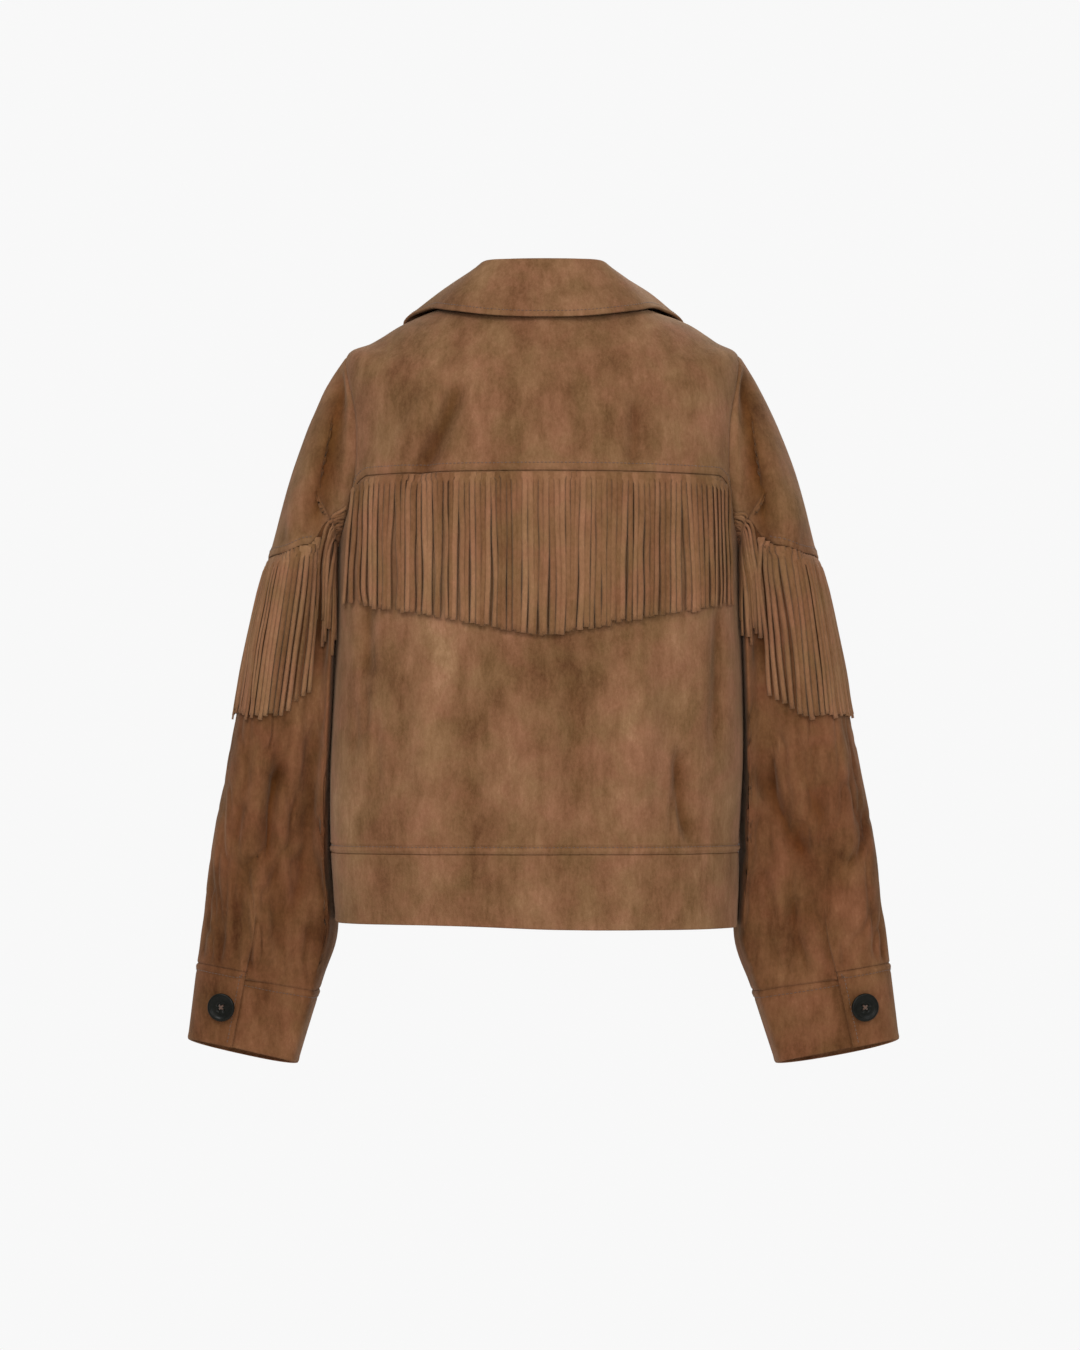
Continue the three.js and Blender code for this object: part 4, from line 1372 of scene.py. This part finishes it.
# A stitch's rings: shares of its half length, and of its radius for their size and height.
STITCH_RINGS = table(
    "along size rise",
    (-1, 0.25, -0.7),
    (-0.72, 0.85, 0.1),
    (0, 1, 0.45),
    (0.72, 0.85, 0.1),
    (1, 0.25, -0.7),
)


def circle(count):
    """The cosines and sines of a ring's points."""
    turn = 2 * math.pi * np.arange(count) / count
    return np.cos(turn), np.sin(turn)


def stitch_row(path, outward):
    """Vertices and faces of the stitches along one line on the cloth."""
    length = path_length(path)
    middles = np.arange(STITCH_PITCH, length[-1] - STITCH_PITCH, STITCH_PITCH)
    half = STITCH_LENGTH / 2
    normal = unit(read_path(middles, length, outward))
    along = unit(read_path(middles + half, length, path) - read_path(middles - half, length, path))
    across = np.cross(normal, along)
    cosine, sine = circle(STITCH_SIDES)
    size, rise = (STITCH_RADIUS * STITCH_RINGS[name][:, None] for name in ("size", "rise"))
    shares = (STITCH_RINGS["along"][:, None] * half + 0 * cosine, size * cosine, size * sine + rise)
    rings = read_path(middles, length, path)[:, None, None] + sum(
        direction[:, None, None] * share[None, :, :, None]
        for direction, share in zip((along, across, normal), shares))
    index = np.arange(rings[..., 0].size).reshape(rings.shape[:3])
    faces = tube_faces(index).tolist() + index[:, 0, ::-1].tolist() + index[:, -1].tolist()
    return rings.reshape(-1, 3), faces


# ---------------------------------------------------------------- buttons

BUTTON_SIDES = 56
HOLE_RADIUS = 1.25
HOLE_REACH = 1.768
HOLE_DEPTH = 10.4
HOLE_SIDES = 14
# Radius and height round the button's outside, from the middle of its back to the middle of its face.
BUTTON_PROFILE = [
    (0, 1.8), (9.5, 1.8), (11.8, 2.2), (12.7, 2.9), (13, 3.6), (12.8, 4.4), (12.1, 5.0), (11.2, 5.2),
    (10.3, 4.95), (9.6, 4.45), (8.8, 4.1), (6, 3.9), (0, 3.85),
]
THREAD_RADIUS = 0.42
THREAD_HEIGHT = 3.4
THREAD_SAG = 1.0
THREAD_STEPS = 9
THREAD_SIDES = 8
THREAD_LANE = 0.294
NECK_PROFILE = [(0, 0), (3.4, 0), (2.6, 0.9), (3.2, 1.9), (0, 1.9)]
NECK_SIDES = 16
FRONT_BUTTON_LEVELS = (0.6, 6.3, 8.6, 10.4, 12.5)


def lathe(profile, count):
    """Vertices and faces of a turned shape about +Z whose profile starts and ends on the axis."""
    radius, height = np.array(profile[1:-1], float).T[..., None]
    cosine, sine = circle(count)
    rings = np.stack([radius * cosine, radius * sine, height + 0 * cosine], -1)
    vertices = np.vstack([rings.reshape(-1, 3), (0, 0, profile[0][1]), (0, 0, profile[-1][1])])
    index = np.arange(len(radius) * count).reshape(-1, count)
    low, high = len(vertices) - 2, len(vertices) - 1
    faces = tube_faces(index).tolist()
    right = np.roll(index, -1, 1)
    faces += [[low, b, a] for a, b in zip(index[0].tolist(), right[0].tolist())]
    faces += [[high, a, b] for a, b in zip(index[-1].tolist(), right[-1].tolist())]
    return vertices, faces


def cut_holes(button):
    """Drills the four thread holes."""
    holes = []
    for x, y in ((1, 1), (1, -1), (-1, 1), (-1, -1)):
        profile = [(0, 0), (HOLE_RADIUS, 0), (HOLE_RADIUS, HOLE_DEPTH), (0, HOLE_DEPTH)]
        vertices, faces = lathe(profile, HOLE_SIDES)
        hole = new_object("hole", vertices + (x * HOLE_REACH, y * HOLE_REACH, 0), faces, HORN)
        cut = button.modifiers.new("hole", "BOOLEAN")
        cut.operation, cut.solver, cut.object = "DIFFERENCE", "EXACT", hole
        holes.append(hole)
    bpy.context.view_layer.update()
    finished = bpy.data.meshes.new_from_object(
        button.evaluated_get(bpy.context.evaluated_depsgraph_get()))
    button.modifiers.clear()
    button.data = finished
    for hole in holes:
        bpy.data.objects.remove(hole)


def thread_bar(start, end):
    """A bowed bar of thread between two holes."""
    share = np.linspace(0, 1, THREAD_STEPS)[:, None]
    path = mix(start, end, share) + UP * THREAD_SAG * np.sin(math.pi * share)
    along = unit(np.gradient(path, axis=0))
    across = unit(np.cross(along, UP))[:, None]
    rise = np.cross(across, along[:, None])
    cosine, sine = (part[None, :, None] for part in circle(THREAD_SIDES))
    rings = path[:, None] + THREAD_RADIUS * (across * cosine + rise * sine)
    index = np.arange(THREAD_STEPS * THREAD_SIDES).reshape(THREAD_STEPS, THREAD_SIDES)
    faces = tube_faces(index).tolist() + [index[0, ::-1].tolist(), index[-1].tolist()]
    return rings.reshape(-1, 3), faces


def button_thread(name):
    """Two crossed pairs of thread on the button, and the neck of thread under it."""
    parts = []
    for x in (1, -1):
        corner = np.array([HOLE_REACH * x, HOLE_REACH, 0])
        for lane in (-THREAD_LANE, THREAD_LANE):
            middle = np.array([lane, -lane * x, THREAD_HEIGHT])
            parts.append(thread_bar(middle + corner, middle - corner))
    parts.append(lathe(NECK_PROFILE, NECK_SIDES))
    return new_object(name, *joined(parts), THREAD)


def button_place(surface, angle, level, lift):
    """The turn and place of a button whose back rests on the cloth."""
    angle, level = np.array(float(angle)), np.array(float(level))
    outward = surface.normal(angle, level)
    base = surface.point(angle, level) + outward * (lift + surface.relief(angle, level))
    turned = Vector(outward).to_track_quat("Z", "Y").to_matrix().to_4x4()
    return Matrix.Translation(Vector(hung(base) * MM)) @ turned


# ---------------------------------------------------------------- materials


class Shader:
    """A material's node tree, with short calls for the nodes that the finishes share."""

    def __init__(self, name):
        self.material = bpy.data.materials.new(name)
        self.material.use_nodes = True
        self.nodes, self.links = self.material.node_tree.nodes, self.material.node_tree.links
        self.surface = self.nodes["Principled BSDF"]
        self.place = self.nodes.new("ShaderNodeTexCoord").outputs["Object"]

    def fill(self, socket, value):
        """Links a socket to another node's output, or sets it."""
        if isinstance(value, bpy.types.NodeSocket):
            self.links.new(value, socket)
        elif isinstance(value, tuple) and socket.type == "RGBA":
            socket.default_value = (*value, 1)
        else:
            socket.default_value = value

    def node(self, kind, **values):
        node = self.nodes.new("ShaderNode" + kind)
        for key, value in values.items():
            self.fill(node.inputs[key], value)
        return node

    def finish(self, **values):
        for key, value in values.items():
            self.fill(self.surface.inputs[key.replace("_", " ")], value)

    def math(self, operation, first, second=0.0):
        node = self.node("Math")
        node.operation = operation
        self.fill(node.inputs[0], first)
        self.fill(node.inputs[1], second)
        return node.outputs[0]

    def noise(self, scale, detail=3, stretch=(1, 1, 1), rough=0.55, warp=0.0):
        place = self.node("Mapping", Vector=self.place, Scale=stretch).outputs[0]
        return self.node("TexNoise", Vector=place, Scale=scale, Detail=detail,
                         Roughness=rough, Distortion=warp).outputs["Fac"]

    def weighted(self, *terms):
        """The sum of (value - 0.5) * weight over the terms, round 0.5."""
        total = 0.5
        for value, weight in terms:
            part = self.math("MULTIPLY", self.math("SUBTRACT", value, 0.5), weight)
            total = self.math("ADD", part, total)
        return total

    def between(self, value, low, high):
        return self.math("MINIMUM", self.math("MAXIMUM", value, low), high)

    def ramp(self, factor, *stops):
        node = self.node("ValToRGB", Fac=factor)
        elements = node.color_ramp.elements
        while len(elements) < len(stops):
            elements.new(0.5)
        for element, (position, colour) in zip(elements, stops):
            element.position, element.color = position, (*colour, 1)
        return node.outputs["Color"]

    def multiply(self, factor, first, second):
        """Two colours multiplied, by a factor."""
        node = self.node("Mix")
        node.data_type, node.blend_type = "RGBA", "MULTIPLY"
        for index, value in ((0, factor), (6, first), (7, second)):
            self.fill(node.inputs[index], value)
        return node.outputs[2]

    def attribute(self, name):
        node = self.node("Attribute")
        node.attribute_name = name
        return node.outputs["Fac"]

    def bump(self, height, distance, strength):
        node = self.node("Bump", Height=height, Distance=distance, Strength=strength)
        self.finish(Normal=node.outputs["Normal"])


def linear(*colour):
    """A colour from 0-255 screen values."""
    shares = [value / 255 for value in colour]
    return tuple(v / 12.92 if v <= 0.04045 else ((v + 0.055) / 1.055) ** 2.4 for v in shares)


# Painted shade in deep folds: the colour is darkened and warmed from a share of the span deep, in millimetres, to a
# span deeper.
FOLD_SHADE_SPAN = 9.0
FOLD_SHADE_START = 0.25
FOLD_SHADE_TINT = (0.66, 0.53, 0.34)

# The suede's colours from dark to light: place on the tone's scale, and the screen colour.
SUEDE_RAMP = (
    (0.0, (72, 44, 25)),
    (0.3, (100, 69.5, 46)),
    (0.5, (115, 81.5, 57.5)),
    (0.72, (129, 93.5, 69)),
    (1.0, (152, 115, 89)),
)
# Uneven tints, how a strip's own tone counts, and the painted highlight on raised cloth and painted shade on sunken
# cloth.
OLIVE_RAMP = ((0.36, (1.06, 0.96, 0.96)), (0.64, (0.96, 1.03, 0.9)))
STRIP_TONE = 0.16
RELIEF_SHADING = 0.036
RELIEF_SHADE_LIMIT = -0.12
RELIEF_HIGHLIGHT_LIMIT = 0.08
SHEEN_TINT = (1.0, 0.76, 0.55)


def suede(name, shade, contrast=1.0, strip=False):
    """Brown suede: mottled by brushing, with lengthwise streaks, a fine nap and a soft sheen, with painted shade in
    its folds and sunken cloth and a painted highlight on raised cloth.
    """
    tree = Shader(name)
    mottle = tree.noise(14, 3, (1, 1, 0.55), warp=0.4)
    patches = tree.noise(58, 3, (1, 1, 0.6), rough=0.5, warp=0.3)
    streaks = tree.noise(150, 3, (1, 1, 0.24), rough=0.6)
    flecks = tree.noise(420, 3, (1, 1, 0.6), rough=0.7)
    nap = tree.noise(1700, 2, rough=0.6)
    tone = tree.weighted((mottle, 0.85 * contrast), (patches, 0.52 * contrast), (streaks, 0.4 * contrast),
                         (flecks, 0.5), (nap, 0.2))
    if strip:
        change = tree.math("MULTIPLY", tree.attribute("tone"), STRIP_TONE)
    else:
        # Painted highlight on raised cloth and painted shade on sunken cloth, from the relief.
        relief = tree.attribute("relief")
        change = tree.math("MULTIPLY", relief, RELIEF_SHADING)
        change = tree.between(change, RELIEF_SHADE_LIMIT, RELIEF_HIGHLIGHT_LIMIT)
        # Painted shade: how deep a fold is, as a mask that darkens and warms the colour.
        hollow = tree.math("SUBTRACT", tree.math("MULTIPLY", relief, -1 / FOLD_SHADE_SPAN), FOLD_SHADE_START)
        hollow = tree.between(hollow, 0.0, 1.0)
    tone = tree.math("ADD", tone, change)
    stops = [(place, tuple(share * value for share, value in zip(shade, linear(*colour))))
             for place, colour in SUEDE_RAMP]
    olive = tree.ramp(tree.noise(26, 3, warp=0.3), *OLIVE_RAMP)
    colour = tree.multiply(0.8, tree.ramp(tone, *stops), olive)
    # Painted shade in deep folds.
    if not strip:
        colour = tree.multiply(hollow, colour, FOLD_SHADE_TINT)
    tree.bump(tree.weighted((nap, 1.0), (flecks, 0.8), (streaks, 0.3)), 0.0006, 0.5)
    tree.finish(Base_Color=colour, Roughness=0.92, Specular_IOR_Level=0.05, Sheen_Weight=0.12,
                Sheen_Roughness=0.5, Sheen_Tint=SHEEN_TINT)
    return tree.material


def horn(name):
    """Near-black polished button horn, with faint swirls."""
    tree = Shader(name)
    swirl = tree.noise(260, 4, (1, 1, 3), warp=1.5)
    colour = tree.ramp(swirl, (0.35, (0.002, 0.0025, 0.0015)), (0.75, (0.006, 0.006, 0.004)))
    gloss = tree.ramp(swirl, (0.3, (0.34, 0.34, 0.34)), (0.8, (0.46, 0.46, 0.46)))
    tree.finish(Base_Color=colour, Roughness=gloss, Specular_IOR_Level=0.12, Coat_Weight=0.03,
                Coat_Roughness=0.12)
    return tree.material


def thread(name, colour):
    tree = Shader(name)
    twist = tree.noise(2600, 2)
    dark, light = (tuple(share * value for value in colour) for share in (0.7, 1.25))
    tree.bump(twist, 0.0002, 0.6)
    tree.finish(Base_Color=tree.ramp(twist, (0.3, dark), (0.7, light)), Roughness=0.7, Sheen_Weight=0.3)
    return tree.material


CLOTHS = {
    "body_suede": suede("body_suede", (1, 1, 1), 1.12),
    # The lower sleeves and cuffs take a darker, redder copy of the body's suede: painted shade for where they hang set
    # back.
    "sleeve_suede": suede("sleeve_suede", (0.75, 0.645, 0.57), 1.35),
    "fringe_suede": suede("fringe_suede", (1.07, 1.06, 1.04), 0.6, strip=True),
}
HORN = horn("button_horn")
THREAD = thread("sewing_thread", linear(80, 53, 35))

# ---------------------------------------------------------------- the jacket

# The cut of each cloth piece before it was sewn: width, length and area, in metres.
CUTS = {
    "back_yoke": (0.46, 0.21, 0.080),
    "back_panel": (0.47, 0.36, 0.165),
    "waistband_back": (0.465, 0.07, None),
    "front": (0.235, 0.56, 0.115),
    "waistband_front": (0.235, 0.07, None),
    "front_placket": (0.028, 0.5, None),
    "collar_stand": (0.36, 0.035, None),
    "collar_fall": (0.6, 0.085, 0.043),
    "sleeve_yoke": (0.42, 0.2, 0.042),
    "sleeve_lower": (0.42, 0.46, 0.155),
    "cuff": (0.39, 0.07, None),
}


def settle(piece, nodes, slot):
    """Every piece rides on the one body and stands for its CAD nodes, if any."""
    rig.ride(piece, "root")
    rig.slot(piece, slot)
    if nodes:
        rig.replaces(piece, *nodes)
    return piece


def sew(name, cloth, lines=(), slot="body_suede"):
    """A piece of cloth, and its stitches in a list."""
    piece = settle(cloth.build(name + "_cloth", CLOTHS[slot]), [name], slot)
    if not lines:
        return piece, []
    rows = joined([stitch_row(*line) for line in lines])
    return piece, [settle(new_object(name + "_stitches", *rows, THREAD), [], "body_suede")]


def hang_fringe(name, strips):
    """The strips of one fringe as one mesh, each with its own tone."""
    meshes = [strip_mesh(*strip[:-1]) for strip in strips]
    tones = np.concatenate([np.full(len(mesh[0]), strip[-1]) for mesh, strip in zip(meshes, strips)])
    piece = new_object(name + "_strips", *joined(meshes), CLOTHS["fringe_suede"], {"tone": tones})
    return settle(piece, [name], "fringe_suede")


def cut_sheet(sewn, cut, held="hung", fringe=()):
    """States the flat cut of a sewn piece, with what rides on it."""
    piece, threads = sewn
    width, length, area = CUTS[cut]
    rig.sheet(piece, flat=(width, length), held=held, area=area, with_pieces=[*fringe, *threads])


# The level at which the columns of a piece are spaced.
YOKE_MIDDLE = 5.5
BACK_MIDDLE = 9
BAND_MIDDLE = 12.5
FRONT_MIDDLE = 10


def make_back():
    reach = (BACK, -BACK_REACH, BACK_REACH)
    waist = at_level(WAIST_LEVEL)
    edges = sides("butt", "soft_lap", "butt", "butt")
    yoke = panel_cloth(*reach, at_level(NECK_LEVEL), yoke_seam, YOKE_MIDDLE, CLOTH, edges)
    cut_sheet(sew("back_yoke", yoke, [yoke.line("bottom", LAP_STITCH)]), "back_yoke")

    edges = sides("under", "lap", "butt", "butt")
    panel = panel_cloth(*reach, yoke_seam, waist, BACK_MIDDLE, CLOTH, edges)
    sewn = sew("back_panel", panel, [panel.line("bottom", LAP_STITCH)])
    cut_sheet(sewn, "back_panel", fringe=[hang_fringe("back_fringe", back_fringe_strips())])

    edges = sides("under", "turned", "butt", "butt")
    band = panel_cloth(*reach, waist, at_level(HEM_LEVEL), BAND_MIDDLE, BAND_CLOTH, edges)
    cut_sheet(sew("waistband_back", band), "waistband_back")


def make_front(name, side):
    reach = (FRONT, 0, side * BACK_REACH)
    waist = at_level(WAIST_LEVEL)
    edges = sides("butt", "lap", "plain", "under")
    front = panel_cloth(*reach, at_level(NECK_LEVEL), waist, FRONT_MIDDLE, CLOTH, edges)
    cut_sheet(sew(f"front_{name}", front, [front.line("bottom", LAP_STITCH)]), "front")

    edges = sides("under", "turned", "plain", "butt")
    band = panel_cloth(*reach, waist, at_level(HEM_LEVEL), FRONT_MIDDLE, BAND_CLOTH, edges)
    cut_sheet(sew(f"waistband_front_{name}", band), "waistband_front")


def make_placket():
    strip = placket_cloth()
    lines = [strip.line(side, EDGE_STITCH) for side in ("start", "end")]
    cut_sheet(sew("front_placket", strip, lines), "front_placket")
    for index, level in enumerate(FRONT_BUTTON_LEVELS):
        make_button(f"front_button_{index + 1}", BODY, math.pi / 2, level, PLACKET_LIFT)


def make_collar():
    cut_sheet(sew("collar_stand", collar_stand()), "collar_stand", "folded")
    fall = collar_fall()
    lines = [fall.line(side, EDGE_STITCH) for side in ("bottom", "start", "end")]
    cut_sheet(sew("collar_fall", fall, lines), "collar_fall", "folded")


def make_button(name, surface, angle, level, lift):
    button = new_object(name + "_horn", *lathe(BUTTON_PROFILE, BUTTON_SIDES), HORN)
    cut_holes(button)
    bars = button_thread(name + "_thread")
    place = button_place(surface, angle, level, lift)
    button.matrix_world, bars.matrix_world = place, place
    settle(button, [name], "button")
    settle(bars, [], "button")


def make_sleeve(name, seed):
    surface = SLEEVES[name]
    yoke = sleeve_cloth(surface, at_level(0), seam_line, {"top": "flush", "bottom": "soft_lap"})
    lines = [outer_part(yoke.line("bottom", LAP_STITCH), YOKE_STITCH_REACH)]
    cut_sheet(sew(f"sleeve_yoke_{name}", yoke, lines), "sleeve_yoke")

    lower = sleeve_cloth(surface, seam_line, cuff_line, {"top": "under", "bottom": "under"})
    sewn = sew(f"sleeve_lower_{name}", lower, slot="sleeve_suede")
    fringe = hang_fringe(f"sleeve_fringe_{name}", sleeve_fringe_strips(surface, seed))
    cut_sheet(sewn, "sleeve_lower", fringe=[fringe])

    cuff = cuff_cloth(surface)
    lines = [cuff.line("top", LAP_STITCH), cuff.line("end", EDGE_STITCH)]
    cut_sheet(sew(f"cuff_{name}", cuff, lines, "sleeve_suede"), "cuff")
    make_button(f"cuff_button_{name}", surface, CUFF_BUTTON_TURN, CUFF_BUTTON_LEVEL, CUFF_BUTTON_LIFT)


# ---------------------------------------------------------------- camera, light and floor

FRAME_HEIGHT = 1.242
FRAME_MIDDLE = (-0.0032, -0.3266)
CAMERA_DISTANCE = 6.0
SENSOR = 36.0
FLOOR_DROP = 0.78
FLOOR_RADIUS = 3.0
PALE = 0.94
AMBIENT = 0.55
FAR = 50
LIGHT_TARGET = (0, 0, -0.3)
FLOOR_SIDES = 96


def make_camera():
    data = bpy.data.cameras.new("camera")
    data.sensor_width = SENSOR
    data.lens = SENSOR * CAMERA_DISTANCE / FRAME_HEIGHT
    camera = bpy.data.objects.new("camera", data)
    camera.location = (FRAME_MIDDLE[0], -CAMERA_DISTANCE, FRAME_MIDDLE[1])
    camera.rotation_euler = (math.pi / 2, 0, 0)
    data.clip_end = FAR
    bpy.context.scene.collection.objects.link(camera)
    bpy.context.scene.camera = camera


def soft_light(name, place, size, power):
    data = bpy.data.lights.new(name, "AREA")
    data.shape, data.size, data.energy = "DISK", size, power
    lamp = bpy.data.objects.new(name, data)
    lamp.location = place
    lamp.rotation_mode = "QUATERNION"
    lamp.rotation_quaternion = (Vector(LIGHT_TARGET) - Vector(place)).to_track_quat("-Z", "Y")
    bpy.context.scene.collection.objects.link(lamp)


def make_lights():
    soft_light("key", (-1.3, -3.0, 2.1), 1.6, 72)
    soft_light("fill", (1.7, -3.0, 1.3), 1.8, 36)
    soft_light("face", (0.0, -5.6, 0.45), 0.8, 62)
    soft_light("front", (0.9, 3.2, 1.8), 2.0, 90)


def make_world():
    """A plain pale surround that lights the jacket less brightly than it looks."""
    world = bpy.data.worlds.new("surround")
    bpy.context.scene.world = world
    world.use_nodes = True
    nodes, links = world.node_tree.nodes, world.node_tree.links
    background = nodes["Background"]
    background.inputs["Color"].default_value = (1, 1, 1, 1)
    path = nodes.new("ShaderNodeLightPath")
    strength = nodes.new("ShaderNodeMapRange")
    strength.inputs["To Min"].default_value = AMBIENT
    strength.inputs["To Max"].default_value = PALE
    links.new(path.outputs["Is Camera Ray"], strength.inputs["Value"])
    links.new(strength.outputs["Result"], background.inputs["Strength"])


def make_floor():
    lowest = float(CAD_BOX[0][2]) - FLOOR_DROP
    bpy.ops.mesh.primitive_circle_add(
        vertices=FLOOR_SIDES, radius=FLOOR_RADIUS, fill_type="NGON", location=(0, 0, lowest))
    floor = bpy.context.object
    floor.name = "floor"
    tree = Shader("floor_paint")
    grain = tree.ramp(tree.noise(3, 2), (0.3, (0.86, 0.86, 0.86)), (0.7, (0.88, 0.88, 0.88)))
    tree.finish(Base_Color=grain, Roughness=0.9)
    floor.data.materials.append(tree.material)
    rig.stage(floor)


def write_sizes():
    boxes = {"cad": CAD_BOX, "visual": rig.bounds()}
    plain = {key: [[float(v) for v in corner] for corner in box] for key, box in boxes.items()}
    with open("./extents.json", "w") as file:
        json.dump(plain, file)


bpy.context.scene.view_settings.view_transform = "Standard"
make_camera()
make_world()
make_lights()
make_floor()
make_back()
make_front("right", 1)
make_front("left", -1)
make_placket()
make_collar()
make_sleeve("right", 61)
make_sleeve("left", 62)
write_sizes()
